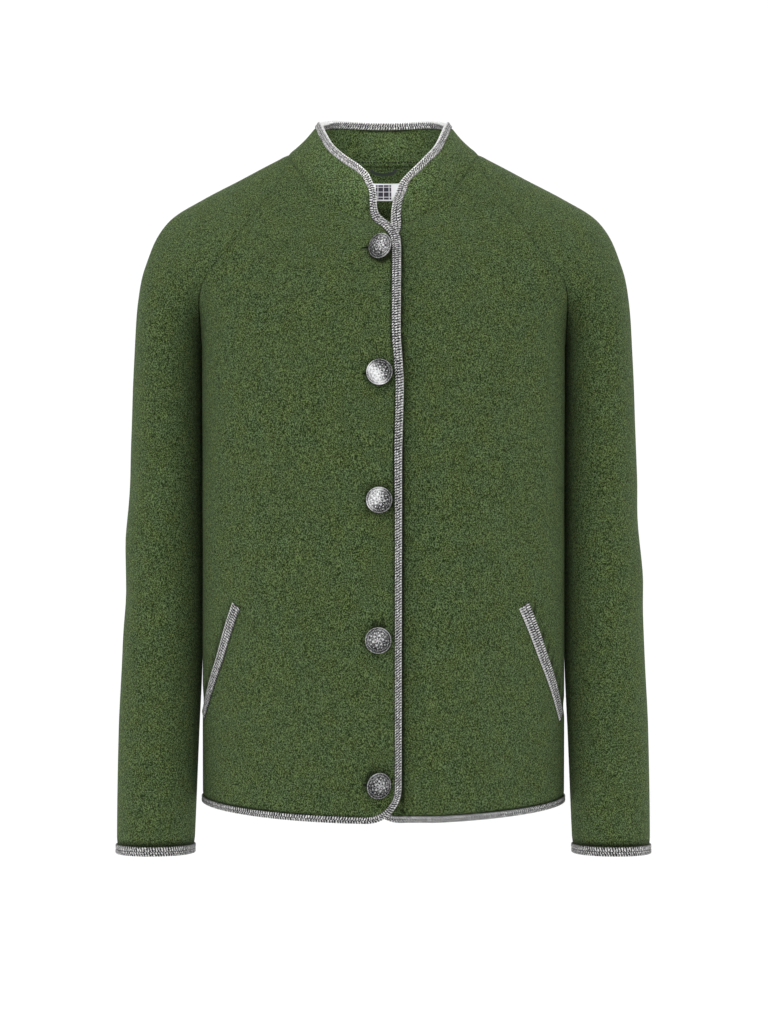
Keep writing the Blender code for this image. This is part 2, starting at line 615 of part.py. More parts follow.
# ---------------------------------------------------------------- buttons
for number, (x, z, yaw, pitch, shank) in enumerate(BUTTONS, 1):
    tree, points, normals = on_right
    k = np.argmin((points[:, 0] - x) ** 2 + (points[:, 2] - z) ** 2)
    (spot,), (n,) = settle(np.array([(x, points[k, 1], z)]), on_right)
    yaw, pitch = np.radians(yaw), np.radians(pitch)
    axis = np.array([np.sin(yaw) * np.cos(pitch), -np.cos(yaw) * np.cos(pitch), np.sin(pitch)])
    lean = np.sqrt(1 - (axis @ n) ** 2)
    foot = spot + n * (RAISED + SHANK_R * lean)
    right = unit(np.cross(axis, (0, 0, 1)))
    up = np.cross(right, axis)
    turn = np.linspace(0, 2 * np.pi, 20, endpoint=False)[:, None]
    circle = right * np.cos(turn) + up * np.sin(turn)
    rings = [foot + circle * SHANK_R, foot + axis * shank + circle * SHANK_R]
    rings += [foot + axis * (shank + h) + circle * r for r, h in BUTTON]
    tube(f"button_{number}", np.array(rings), "pewter", loop=False)

# ---------------------------------------------------------------- loop and label in the neck
path = np.array([(x, .056, z) for x, z in zip(LOOP["x"], LOOP["z"])])
low, high = -(CLOTH + .0006 + LOOP_THICK), -(CLOTH + .0006)
tube("hanger_loop", laid(path, LOOP_WIDTH, low, high, on_neck), "tape", loop=False)

turn = np.arcsin(LABEL_HALF / smooth(.122, YOKE, "level", "half"))
reach = turn / np.arcsin(smooth(.122, YOKE, "level", "seam_b") / smooth(.122, YOKE, "level", "half"))
p, n, _ = surface("back", *pair(LABEL_ROWS, np.linspace(-reach, reach, 7)))
slab("neck_label", p - n * (CLOTH + AIR), p - n * (CLOTH + AIR + LABEL_THICK), "label")
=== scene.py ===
"""Looks of a boiled-wool jacket: felted green cloth, grey knitted braid and old pewter buttons.

The sections follow the garment as it is made up: the studio, the cloth panels, the braid round
their edges, the pockets, the buttonholes and buttons, and what is sewn inside the neck.
Everything is in metres. +X is the wearer's left, the front faces -Y and +Z is up.
"""

import bmesh
import bpy
import numpy as np
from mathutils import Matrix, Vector
from mathutils.kdtree import KDTree


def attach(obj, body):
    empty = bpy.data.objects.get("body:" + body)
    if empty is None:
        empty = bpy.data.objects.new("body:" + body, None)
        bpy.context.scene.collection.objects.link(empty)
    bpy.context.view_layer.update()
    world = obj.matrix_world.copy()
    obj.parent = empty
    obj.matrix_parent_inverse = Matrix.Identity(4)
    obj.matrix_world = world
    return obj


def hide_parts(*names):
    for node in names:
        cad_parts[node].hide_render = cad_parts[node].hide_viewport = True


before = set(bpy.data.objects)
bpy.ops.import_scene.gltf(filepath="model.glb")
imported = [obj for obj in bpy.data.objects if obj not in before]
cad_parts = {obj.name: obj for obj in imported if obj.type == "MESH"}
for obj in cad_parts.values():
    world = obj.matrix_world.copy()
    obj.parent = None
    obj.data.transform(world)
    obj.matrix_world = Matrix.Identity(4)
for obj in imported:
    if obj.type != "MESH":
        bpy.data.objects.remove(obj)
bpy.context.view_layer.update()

# ---------------------------------------------------------------- the studio
# A round pale floor that curves up into a wall, open above to an even white sky. The jacket
# keeps its worn shape at the camera's height, well clear of the floor.
ROOM = (
    # radius and height
    (0.0, 1.5, 3.0, 4.2, 5.0, 5.6, 6.0, 6.2, 6.2),
    (-1.30, -1.30, -1.30, -1.28, -1.15, -0.85, -0.35, 0.40, 1.9),
)
CAMERA = (0.0005, -2.0, -0.3247)
LENS = 75.586
SKY = 1.05              # strength of its light
LIGHTS = (
    # name, place, target, side, watts, degrees its beam spreads
    ("key", (-0.7, -2.2, 1.9), (0, 0, -0.1), 2.0, 26, 180),
    ("fill", (1.8, -2.2, 0.2), (0, 0, -0.35), 2.0, 2.2, 180),
    ("neck", (0, -2.0, -0.30), (0, 0.05, 0.028), 0.04, 0.032, 5),
    ("back", (0.6, 2.2, 1.6), (0, 0, -0.2), 1.6, 24, 180),
)


class Wire:
    """One socket in a material; + - * and / on wires and numbers add Math nodes."""

    def __init__(self, tree, socket):
        self.tree = tree
        self.socket = socket

    def node(self, kind, inputs, out=0, **settings):
        """Output `out` of a new node: its settings first, then its sockets."""
        made = self.tree.nodes.new("ShaderNode" + kind)
        for key, value in settings.items():
            setattr(made, key, value)
        for key, value in inputs.items():
            if isinstance(value, Wire):
                self.tree.links.new(value.socket, made.inputs[key])
            else:
                made.inputs[key].default_value = value
        return Wire(self.tree, made.outputs[out])

    def math(self, operation, a, b=0.0):
        return self.node("Math", {0: a, 1: b}, operation=operation)

    def __add__(self, other):
        return self.math("ADD", self, other)

    def __sub__(self, other):
        return self.math("SUBTRACT", self, other)

    def __rsub__(self, other):
        return self.math("SUBTRACT", other, self)

    def __mul__(self, other):
        return self.math("MULTIPLY", self, other)

    def __truediv__(self, other):
        return self.math("DIVIDE", self, other)

    def step(self, low, high):
        """Soft step: 0 below low, 1 above high; turned over when low is the larger."""
        return self.node("MapRange", {"Value": self, "From Min": low, "From Max": high},
                         interpolation_type="SMOOTHSTEP")

    def mix(self, low, high):
        """Colour between two colours or wires, by this wire as the share of the second."""
        low, high = (c if isinstance(c, Wire) else (*c, 1) for c in (low, high))
        return self.node("Mix", {0: self, 6: low, 7: high}, out=2, data_type="RGBA")

    def part(self, which):
        """One of the three numbers of a vector."""
        return self.node("SeparateXYZ", {0: self}, out=which)

    def away(self, place):
        """Distance from a place, up or down."""
        return self.math("ABSOLUTE", self - place)

    def wave(self, kind):
        """Sine or cosine of this wire, drawn in to between 0 and 1."""
        return self.math(kind, self) * 0.5 + 0.5

    def noise(self, scale, detail=2.0, rough=0.5):
        """Even cloudy noise of this many cells a metre, about 0.5."""
        return self.node("TexNoise", {"Vector": self, "Scale": scale, "Detail": detail,
                                      "Roughness": rough})


def finish(name, attribute=None, **constants):
    """A new material with these constants on its shader, and the wires it starts from.

    Gives the material, the wire of Object coordinates (metres) and the attribute's wire: two
    numbers of a uv, or one.
    """
    made = bpy.data.materials.new(name)
    made.use_nodes = True
    tree = made.node_tree
    shader = tree.nodes["Principled BSDF"]
    for key, value in constants.items():
        shader.inputs[key.replace("_", " ").title().replace("Ior", "IOR")].default_value = value
    where = Wire(tree, tree.nodes.new("ShaderNodeTexCoord").outputs["Object"])
    if attribute is None:
        return made, where
    read = tree.nodes.new("ShaderNodeAttribute")
    read.attribute_name = attribute
    return made, where, Wire(tree, read.outputs["Vector" if attribute == "run" else "Fac"])


def paint(material, colour, rough=None, height=None, depth=0.0005, strength=1.0):
    """Links colour, roughness and bump height (depth in metres) to the material's shader."""
    tree = material.node_tree
    shader = tree.nodes["Principled BSDF"]
    tree.links.new(colour.socket, shader.inputs["Base Color"])
    if rough is not None:
        tree.links.new(rough.socket, shader.inputs["Roughness"])
    if height is not None:
        bump = height.node("Bump", {"Height": height, "Distance": depth, "Strength": strength})
        tree.links.new(bump.socket, shader.inputs["Normal"])


def placed(name, data):
    """A new object with this data, in the scene."""
    made = bpy.data.objects.new(name, data)
    bpy.context.scene.collection.objects.link(made)
    return made


def quads(index):
    """Four-sided faces between neighbours in a grid of point numbers."""
    corners = (index[:-1, :-1], index[:-1, 1:], index[1:, 1:], index[1:, :-1])
    return np.stack(corners, -1).reshape(-1, 4)


def sheet_of(points):
    """The faces of a whole grid of points, row by row."""
    rows, cols = points.shape[:2]
    return quads(np.arange(rows * cols).reshape(rows, cols))


def crossed(first, second):
    """A grid of number pairs: the first by row, the second by column."""
    return np.stack(np.broadcast_arrays(np.asarray(first)[:, None], np.asarray(second)[None, :]), -1)


def lengths(path):
    """How far along a path each of its points lies."""
    return np.concatenate([[0], np.cumsum(np.linalg.norm(np.diff(path, axis=0), axis=1))])


def new_piece(name, points, faces, material, uv=None, values=None, weld=False):
    """An object of four-sided faces; a closed one is turned outwards by its volume's sign.

    uv gives two numbers a point, values one number a point under a name; weld joins points
    that lie on each other once each face has its own uv.
    """
    points = np.asarray(points, float).reshape(-1, 3)
    a, b, c, d = points[faces.T]
    if (a * (np.cross(b, c) + np.cross(c, d))).sum() < 0:
        faces = faces[:, ::-1]
    mesh = bpy.data.meshes.new(name)
    mesh.from_pydata(points.tolist(), [], faces.tolist())
    mesh.polygons.foreach_set("use_smooth", np.ones(len(faces), bool))
    if uv is not None:
        layer = mesh.uv_layers.new(name="run")
        layer.data.foreach_set("uv", uv.reshape(-1, 2)[faces.ravel()].astype(np.float32).ravel())
    for key, numbers in (values or {}).items():
        layer = mesh.attributes.new(key, "FLOAT", "POINT")
        layer.data.foreach_set("value", numbers.astype(np.float32).ravel())
    if weld:
        bm = bmesh.new()
        bm.from_mesh(mesh)
        bmesh.ops.remove_doubles(bm, verts=bm.verts, dist=1e-6)
        bm.to_mesh(mesh)
        bm.free()
    mesh.materials.append(material)
    return placed(name, mesh)


pale, where = finish("studio_pale", roughness=0.9, specular_ior_level=0.1)
paint(pale, where.noise(1.2).step(0.2, 0.8).mix((0.958, 0.958, 0.958), (0.96, 0.96, 0.96)))
t, angle = np.linspace(0, 8, 65), np.linspace(0, 2 * np.pi, 97)
radius, height = (np.interp(t, range(9), row)[:, None] for row in ROOM)
wall = np.stack([radius * np.cos(angle), radius * np.sin(angle), height + 0 * angle], -1)
room = new_piece("studio", wall, sheet_of(wall), pale, weld=True)

sky = bpy.data.worlds.new("sky")
sky.use_nodes = True
light = sky.node_tree.nodes["Background"].inputs
light["Color"].default_value = (1, 1, 1, 1)
light["Strength"].default_value = SKY
bpy.context.scene.world = sky
bpy.context.scene.view_settings.view_transform = "Standard"

for name, place, target, side, watts, spread in LIGHTS:
    lamp = bpy.data.lights.new(name, "AREA")
    lamp.size = side
    lamp.energy = watts
    lamp.spread = np.radians(spread)
    holder = placed(name, lamp)
    holder.location = place
    holder.rotation_euler = (Vector(target) - Vector(place)).to_track_quat("-Z", "Y").to_euler()
    holder.visible_camera = False

lens = bpy.data.cameras.new("camera")
lens.lens = LENS
lens.sensor_width = 36
camera = placed("camera", lens)
camera.location = CAMERA
camera.rotation_euler = (np.pi / 2, 0, 0)
bpy.context.scene.camera = camera

# ---------------------------------------------------------------- cloth panels
# Six panels of boiled wool 2.5 mm thick: back, two fronts, two raglan sleeves and a stand
# collar, sewn edge to edge. The form of each is worked out from tables of its sections.
CLOTH = 0.0025
SEAM = 0.0002           # how far the body's sides stop short of their tables' width
RAGLAN_GAP = 0.00004    # how far the sleeves stop short of the raglan seams
SIDE_Y = 0.004          # side seams and sleeve crowns lie in this plane
BODY_DROP = 0.4168      # underarm to the cloth's hem at the side seams
FRONT_DIP = 0.0044
BACK_DIP = 0.0020
SLEEVE_DROP = 0.4629
CUFF_TILT = 0.073
CORNER = 0.030          # radius of the fronts' lower corners
PAST = 0.0150           # how far past the centre either front reaches at the hem
LAP = 0.0063            # how far the left front is set back under the right front
LAP_FADE = (.020, .030)         # from how far left of the centre this fades out, over what width
COLLAR_FADE = (.020, .040)      # and at what height on the collar it ends, over what height
LAP_DIP = (.5, -.20, .12)       # how much its direction dips at the neck, from where, over what

# level: 0 at the neck seam, 1 at the underarm; each row is one ring round body and arms
YOKE = {
    "level":   (0.000, 0.100, 0.200, 0.350, 0.500, 0.600, 0.700, 0.800, 0.900, 0.950, 1.000),
    "half":    (.0885, .1084, .1326, .1679, .1977, .2116, .2191, .2247, .2278, .2293, .2308),
    "side_z":  (.0075, -.0028, -.0158, -.0344, -.0531, -.0717, -.0903, -.1089, -.1300, -.1461, -.175),
    "front":   (.0735, .0815, .0890, .0985, .1060, .1100, .1135, .1160, .1175, .1178, .1180),
    "front_z": (-.0635, -.0740, -.0860, -.1020, -.1170, -.1280, -.1390, -.1500, -.1610, -.1680, -.175),
    "back":    (.0580, .0675, .0770, .0880, .0950, .0985, .1010, .1030, .1045, .1048, .1050),
    "back_z":  (.0055, -.0125, -.0340, -.0640, -.0900, -.1090, -.1260, -.1420, -.1570, -.1660, -.175),
    "bend":    (2.50, 2.35, 2.20, 2.05, *[2] * 7),
    "seam_f":  (.0862, .0950, .1075, .1240, .1370, .1490, .1580, .1640, .1670, .1678, .1680),
    "seam_b":  (.0850, .0930, .1050, .1220, .1350, .1470, .1560, .1625, .1665, .1678, .1680),
}
SPLIT_FROM = 0.62       # level where arm and body begin to part
ARCH = 0.050            # half the width of the arch over the armpit where they begin to part

# drop below the underarm; square 2 is an ellipse, more is boxier
BODY = {
    "drop":   (0.000, 0.065, 0.145, 0.245, 0.345, 0.4168),
    "half":   (.1682, .1680, .1678, .1679, .1681, .1680),
    "front":  (.1180, .1178, .1160, .1165, .1195, .1215),
    "back":   (.1050, .1010, .0985, .1015, .1070, .1110),
    "square": (2.70, 2.60, 2.50, 2.40, 2.20, 2.00),
}
SLEEVE = {
    "drop":   (0.000, 0.030, 0.075, 0.145, 0.2316, 0.2875, 0.3525, 0.420, 0.4629),
    "inner":  (.1684, .1688, .1688, .1688, .1689, .1693, .1714, .1735, .1751),
    "outer":  (.2308, .2325, .2346, .2380, .2415, .2435, .2455, .2459, .2457),
    "mid_y":  (.004, .006, .011, .014, .012, .008, -.002, -.010, -.014),
    "deep":   (.0600, .0605, .0600, .0575, .0540, .0515, .0490, .0465, .0450),
    "square": (*[2.2] * 5, *[2.1] * 4),
}
# rise: 0 at the neck seam, 1 at the top edge
COLLAR = {
    "rise":    (0.0, 0.5, 1.0),
    "half":    (.0885, .0733, .0598),
    "side_z":  (.0075, .0213, .0374),
    "front":   (.0735, .0688, .0642),
    "front_z": (-.0635, -.0460, -.0288),
    "back":    (.0580, .0525, .0472),
    "back_z":  (.0055, .0262, .0447),
    "bend":    (2.50, 4.50, 8.00),
}
# how the rim's front rises from its lowest point to the side, by share of the half width
RIM = {
    "across": (0.0, .21, .34, .60, .80, .94, 1.0),
    "right":  (-.10, .105, .225, .410, .605, .850, 1.0),
    "left":   (-.26, .000, .155, .370, .575, .850, 1.0),
}
# how far from the centre the cloth stops at either end
COLLAR_END = {
    "rise":  (0.00, 0.08, 0.16, 0.28, 0.45, 0.62, 0.75, 0.85, 0.93, 1.00),
    "right": (-.0008, .0018, .0046, .0065, .0072, .0073, .0080, .0096, .0119, .0146),
    "left":  (.0083, .0082, .0081, .0081, .0083, .0089, .0099, .0114, .0134, .0156),
}
# how far each front reaches past the centre, by how far down its edge is
FRONT_EDGE = {
    "down":  (.0635, .0674, .0721, .0768, .0812, .0900, .1300, .1650, .1900, .2150, .2400, .2800, .6000),
    "right": (.0008, .0058, .0096, .0125, .0139, .0144, .0141, .0138, .0153, .0165, .0160, .0150, .0146),
    "left":  (-.0083, -.0077, -.0058, -.0020, .0028, .0096, .0142, *[.0150] * 6),
}
FOLDS = (
    # from x, y, z, to x, y, z, width, height (a negative height is a trough)
    (-.148, -.088, -.190, -.152, -.070, -.330, .016, .0014),
    (.148, -.088, -.185, .150, -.072, -.300, .015, .0012),
    (-.232, -.020, -.300, -.180, -.050, -.262, .020, -.0022),
    (-.236, -.015, -.350, -.185, -.048, -.318, .022, .0018),
    (-.236, -.010, -.405, -.182, -.045, -.378, .020, -.0020),
    (.236, -.010, -.330, .185, -.050, -.298, .022, -.0020),
    (.238, -.010, -.385, .186, -.046, -.356, .022, .0016),
    (-.205, .070, -.225, -.165, .070, -.180, .020, -.0022),
    (.205, .070, -.228, .165, .070, -.182, .020, -.0022),
    (-.060, .103, -.430, -.020, .105, -.300, .030, -.0022),
    (.072, .104, -.470, .040, .103, -.330, .030, -.0020),
    (-.028, -.124, -.500, -.075, -.112, -.380, .026, .0014),
    (.040, -.122, -.330, .095, -.105, -.230, .030, .0012),
    # smaller ones, where the cloth is sewn, pulled by a button or bent at an elbow
    (-.020, -.116, -.200, -.075, -.108, -.186, .010, .0007),
    (-.020, -.117, -.320, -.070, -.112, -.345, .012, -.0006),
    (-.022, -.119, -.440, -.080, -.114, -.425, .013, .0006),
    (-.026, -.123, -.560, -.070, -.118, -.590, .012, -.0006),
    (.030, -.119, -.420, .082, -.113, -.400, .014, .0006),
    (.115, -.100, -.560, .085, -.108, -.470, .018, -.0008),
    (-.110, -.100, -.545, -.088, -.108, -.450, .018, -.0007),
    (-.200, -.050, -.470, -.235, -.030, -.445, .014, .0009),
    (.196, -.052, -.455, .236, -.028, -.425, .015, -.0009),
    (.205, -.048, -.540, .232, -.040, -.515, .013, .0007),
    (-.212, .045, -.380, -.175, .058, -.350, .014, .0009),
    (.212, .045, -.410, .176, .058, -.385, .014, .0009),
    (-.120, .085, -.200, -.088, .098, -.270, .018, .0010),
    (.122, .085, -.205, .092, .098, -.280, .018, .0009),
    (-.010, .099, -.150, .012, .099, -.230, .022, -.0008),
    (-.090, .100, -.560, -.066, .106, -.470, .018, .0009),
    (.030, .107, -.570, .020, .106, -.500, .018, .0008),
)

YOKE_ROWS = (0.0015, .045, .09, .14, .20, .30, .41, .52, .63, .73, .81, .88, .94, .98, 1.0)
BODY_ROWS = (1.10, 1.26, 1.43, 1.60, 1.77, 1.90, 1.962, 1.987, 2.0)
SLEEVE_ROWS = (1.06, 1.15, 1.27, 1.40, 1.53, 1.66, 1.79, 1.91, 1.983, 2.0)
FRONT_COLS = (0, .035, .075, .125, .19, .27, .36, .45, .54, .63, .72, .80, .875, .94, .999)
COLLAR_COLS = (-1, -.975, -.935, -.885, -.825, -.76, -.695, -.63, -.565, -.49, -.41, -.32, -.22, -.11,
               0, .11, .22, .32, .41, .49, .56, .615, .665, .715, .765, .815, .865, .91, .945, .975, 1)
COLLAR_ROWS = (.005, .08, .16, .28, .45, .64, .82, 1.0)
NEAR_SEAM = np.array((.003, .007, .012, .018, .026, .036))

# centre lines of the pockets' braid: height, and distance from the centre on either side
POCKET = {
    "z":     (-.4080, -.4330, -.4570, -.4735, -.4900, -.5110),
    "right": (.1308, .1396, .1466, .1527, .1579, .1640),
    "left":  (.1248, .1352, .1436, .1502, .1556, .1608),
}
BRAID_WIDTH = {"hem": 0.0060, "left_end": 0.0090, "rim": 0.0067, "right_end": 0.0065, "cuff": 0.0085,
               "pocket_right": 0.0104, "pocket_left": 0.0124}
BUTTON_R = 0.0112       # at the outside of the rim
# where painted shade rings the buttons on the cloth: x, z and how dark
BUTTON_PLACES = ((-.0022, -.0912, .8), (-.0034, -.2027, .8), (-.0039, -.3144, .8), (-.0045, -.4370, .8),
                 (-.0045, -.5628, .8))
# the braid down the fronts narrows from the neck to the hem
FRONT_WIDTH = {
    "down": (.0600, .0750, .0900, .1500, .2000, .2700, .3500, .6400),
    "wide": (.0092, .0089, .0080, .0079, .0074, .0068, .0061, .0060),
}


def smooth(x, table, key, column):
    """Monotone cubic through a table's rows: slopes are harmonic means, 0 at each turn."""
    xs = np.asarray(table[key], float)
    ys = np.asarray(table[column], float)
    gap = np.diff(xs)
    slope = np.diff(ys) / gap
    tangent = np.concatenate([slope[:1], np.zeros(len(gap) - 1), slope[-1:]])
    same = slope[:-1] * slope[1:] > 0
    mean = 2 * slope[:-1] * slope[1:] / np.where(same, slope[:-1] + slope[1:], 1)
    tangent[1:-1] = np.where(same, mean, 0)
    i = np.clip(np.searchsorted(xs, x, side="right") - 1, 0, len(gap) - 1)
    s = (x - xs[i]) / gap[i]
    return (ys[i] * (1 + 2 * s) * (1 - s) ** 2 + ys[i + 1] * s * s * (3 - 2 * s)
            + gap[i] * (tangent[i] * s * (1 - s) ** 2 - tangent[i + 1] * s * s * (1 - s)))


def looked_up(x, table, key, columns):
    """Several columns of a table, named in one string, each read as smooth does."""
    return [smooth(x, table, key, column) for column in columns.split()]


def paired(u, v):
    """Two grids of numbers of one shape, made of any two that fit each other."""
    return np.broadcast_arrays(np.asarray(u, float), np.asarray(v, float))


def bell(x, wide):
    """Bell curve, 1 at 0, that falls off over this width."""
    return np.exp(-(x / wide) ** 2)


def ease(x):
    """Soft step from 0 to 1: three x squared less two x cubed."""
    x = np.clip(x, 0, 1)
    return x * x * (3 - 2 * x)


def unit(v):
    return v / np.linalg.norm(v, axis=-1, keepdims=True)


def rounding(angle, square):
    """Factor that swells an ellipse's point at this angle towards a box."""
    return (np.abs(np.sin(angle)) ** square + np.abs(np.cos(angle)) ** square) ** (-1 / square)


def parted(level):
    """How far arm and body have parted (0 to 1) and half the width of the arch over the armpit."""
    x = np.clip((level - SPLIT_FROM) / (1 - SPLIT_FROM), 0, 1)
    return ease(x), ARCH * np.sqrt(1 - x * x)


def hung(side_z, mid_z, turn, bend):
    """Height on a ring: mid_z before and behind, side_z at the side, bent by a power."""
    return side_z + (mid_z - side_z) * (1 - np.abs(np.sin(turn)) ** bend)


def torso(level, across, face):
    """Front or back of the body: ellipses round the yoke that become boxy rings below the arms.

    across runs -1..1 between the raglan or side seams.
    """
    level, across = paired(level, across)
    top = np.minimum(level, 1.0)
    drop = np.maximum(level - 1, 0) * BODY_DROP
    side = -1 if face == "front" else 1
    depth, half, side_z, mid_z, seam, bend = looked_up(
        top, YOKE, "level", f"{face} half side_z {face}_z seam_{face[0]} bend")
    low_depth, low_half, square = looked_up(drop, BODY, "drop", face + " half square")
    reach = np.where(level < 1, depth, low_depth) - side * SIDE_Y
    turn = across * np.arcsin(seam / half)
    share, arch = parted(level)
    end_y = arch / reach
    end_x = (1 - end_y ** square) ** (1 / square)
    angle = across * np.arctan2(end_x, end_y)
    swell = rounding(angle, square)
    width = (low_half - SEAM) / end_x
    x = half * np.sin(turn) * (1 - share) + width * swell * np.sin(angle) * share
    y = SIDE_Y + side * reach * (np.cos(turn) * (1 - share) + swell * np.cos(angle) * share)
    dip = FRONT_DIP if face == "front" else BACK_DIP
    z = hung(side_z, mid_z, turn, bend) - drop - dip * (drop / BODY_DROP) ** 2 * np.cos(angle) ** 2
    return np.stack([x, y, z], -1)


def sleeve(level, around, side):
    """Sleeve: the outer part of the yoke's rings, parting into a tube with a tilted cuff.

    around runs 0..1 from the front raglan seam over the arm to the back one.
    """
    level, around = paired(level, around)
    top = np.minimum(level, 1.0)
    drop = np.maximum(level - 1, 0) * SLEEVE_DROP
    half, side_z, bend, seam_f, seam_b, front_y, back_y, front_z, back_z = looked_up(
        top, YOKE, "level", "half side_z bend seam_f seam_b front back front_z back_z")
    inner, outer, mid_y, deep, square = looked_up(drop, SLEEVE, "drop", "inner outer mid_y deep square")
    front = around < 0.5
    start = np.arcsin(np.where(front, seam_f, seam_b) / half)
    lift = 1 - np.abs(1 - 2 * around)
    turn = start + (np.pi / 2 - start) * lift
    reach = np.where(front, -(front_y + SIDE_Y), back_y - SIDE_Y)
    z = hung(side_z, np.where(front, front_z, back_z), turn, bend)
    share, arch = parted(level)
    outer = np.where(level < 1, half, outer)
    end_y = arch / deep
    end_x = (1 - end_y ** square) ** (1 / square)
    first = np.arctan2(end_y, end_x)
    angle = first + (2 * np.pi - 2 * first) * around
    inner = (2 * inner - outer * (1 - end_x)) / (1 + end_x)
    swell = rounding(angle, square)
    tube_x = (inner + outer) / 2 - (outer - inner) / 2 * swell * np.cos(angle)
    tube_y = mid_y - deep * swell * np.sin(angle)
    x = half * np.sin(turn) * (1 - share) + tube_x * share
    y = (SIDE_Y + reach * np.cos(turn)) * (1 - share) + tube_y * share
    z = z - drop - CUFF_TILT * np.maximum(level - 1, 0) * (y - mid_y)
    return np.stack([side * x, y, z], -1)


def collar(rise, round_):
    """Stand collar: half ellipses before and behind, drawn in and up from the neck seam.

    round_ runs -1..1 from the right front end round the back to the left.
    """
    rise, round_ = paired(rise, round_)
    half, side_z, bend, front_y, back_y, front_z, back_z = looked_up(
        rise, COLLAR, "rise", "half side_z bend front back front_z back_z")
    low = np.clip(rise, 0, 1)
    end = np.where(round_ < 0, *looked_up(low, COLLAR_END, "rise", "right left"))
    turn = round_ * (np.pi - np.arcsin(end / half))
    back = np.cos(turn) > 0
    reach = np.where(back, back_y - SIDE_Y, front_y + SIDE_Y)
    mid_z = np.where(back, back_z, front_z)
    out = np.abs(np.sin(turn))
    rim = np.where(round_ < 0, *looked_up(out, RIM, "across", "right left"))
    share = np.where(back, out ** bend, out ** 2.5 + (rim - out ** 2.5) * low)
    z = mid_z + (side_z - mid_z) * share
    return np.stack([half * np.sin(turn), SIDE_Y + reach * np.cos(turn), z], -1)


def front_across(level, u, side):
    """Torso coordinate of a front panel's column: u 0 on its free edge, 1 at the outer seam."""
    fall = np.maximum(level - 1, 0)
    short = 1 - 1 / np.sqrt(2)
    height = BODY_DROP * (1 - fall * (1 - short * CORNER / BODY_DROP))
    curve = np.clip(CORNER - height, 0, CORNER)
    centre = torso(level, np.zeros_like(level + 0.0), "front")
    edge = smooth(-centre[..., 2], FRONT_EDGE, "down", "right" if side < 0 else "left")
    edge = edge - (CORNER - np.sqrt(CORNER ** 2 - curve ** 2))
    pace = (torso(level, np.full_like(level + 0.0, .01), "front")[..., 0] - centre[..., 0]) / .01
    first = -side * edge / pace
    return first + (side - first) * u


def front(level, u, side):
    """Wearer's right (side -1) or left (side 1) front, its lower corner a quarter circle."""
    level, u = paired(level, u)
    across = front_across(level, u, side)
    last = front_across(np.full_like(level, 2.0), u, side)
    x_end = torso(np.full_like(level, 2.0), last, "front")[..., 0]
    inside = np.clip(CORNER - (PAST + side * x_end), 0, CORNER)
    lift = CORNER - np.sqrt(CORNER ** 2 - inside ** 2)
    fall = np.maximum(level - 1, 0) * (1 - lift / BODY_DROP)
    return torso(np.where(level > 1, 1 + fall, level), across, "front")


def lap(p):
    """Set-back of the left front and of the collar's left end under the right front."""
    start, wide = LAP_FADE
    return LAP * (1 - ease((p[..., 0] - start) / wide)) * (p[..., 1] < 0)


def collar_lap(p):
    end, high = COLLAR_FADE
    return lap(p) * ease((end - p[..., 2]) / high)


def fold(p):
    """Height of the soft folds: each falls off as a bell curve of the distance from its line."""
    height = np.zeros(p.shape[:-1])
    for row in FOLDS:
        a, b = np.array(row[0:3]), np.array(row[3:6])
        s = np.clip(((p - a) @ (b - a)) / ((b - a) @ (b - a)), 0, 1)
        away = p - (a + s[..., None] * (b - a))
        height += row[7] * np.exp(-(away ** 2).sum(-1) / row[6] ** 2)
    return height


FORMS = {
    # form, sign that turns its normal outwards, set-back
    "back": (lambda a, b: torso(a, b, "back"), -1, None),
    "front_right": (lambda a, b: front(a, b, -1), -1, None),
    "front_left": (lambda a, b: front(a, b, 1), 1, lap),
    "sleeve_right": (lambda a, b: sleeve(a, b, -1), -1, None),
    "sleeve_left": (lambda a, b: sleeve(a, b, 1), 1, None),
    "collar_right": (collar, 1, None),
    "collar_left": (collar, 1, collar_lap),
}


def surface(name, u, v):
    """Outer points and normals of a form, its folds added along the unfolded form's normal."""
    base, flip, sink = FORMS[name]
    u, v = paired(u, v)

    def normal(form, e):
        return flip * unit(np.cross(form(u + e, v) - form(u - e, v), form(u, v + e) - form(u, v - e)))

    out = normal(base, 2e-4)

    def final(a, b):
        p = base(a, b)
        p = p + out * fold(p)[..., None]
        if sink is None:
            return p
        most, low, high = LAP_DIP
        dip = most * ease((p[..., 2] - low) / high)
        return p + unit(np.stack([0 * dip, 1 + 0 * dip, -dip], -1)) * sink(p)[..., None]

    return final(u, v), normal(final, 1e-3)


def finer(stations, times):
    """The same stations with times - 1 more spaced evenly between each two."""
    count = len(stations)
    return np.interp(np.linspace(0, count - 1, (count - 1) * times + 1), np.arange(count), stations)


def pair(rows, cols):
    """Stations down and across, shaped to span a grid."""
    return np.asarray(rows)[:, None], np.asarray(cols)[None, :]


def from_edges(points):
    """Distance of each grid point from the first and last column and row, along the grid."""
    def run(axis):
        gaps = np.linalg.norm(np.diff(points, axis=axis), axis=-1)
        start = np.zeros_like(np.take(gaps, [0], axis))
        total = np.concatenate([start, np.cumsum(gaps, axis)], axis)
        return total, np.take(total, [-1], axis) - total
    (left, right), (top, bottom) = run(1), run(0)
    return {"left": left, "right": right, "top": top, "bottom": bottom}


def line_away(p, line):
    """Distance from points to a line of points, seen from the front (x and z only)."""
    a, b = line[:-1], line[1:]
    d = b - a
    s = np.clip(((p[..., None, :] - a) * d).sum(-1) / (d * d).sum(-1), 0, 1)
    return np.linalg.norm(p[..., None, :] - (a + s[..., None] * d), axis=-1).min(-1)


def braid_width(kind, points):
    """Width of the braid at points on the cloth's edge, from its fold to its sewn edge."""
    if kind == "front":
        return smooth(-points[..., 2], FRONT_WIDTH, "down", "wide")
    return np.full(points.shape[:-1], BRAID_WIDTH[kind])


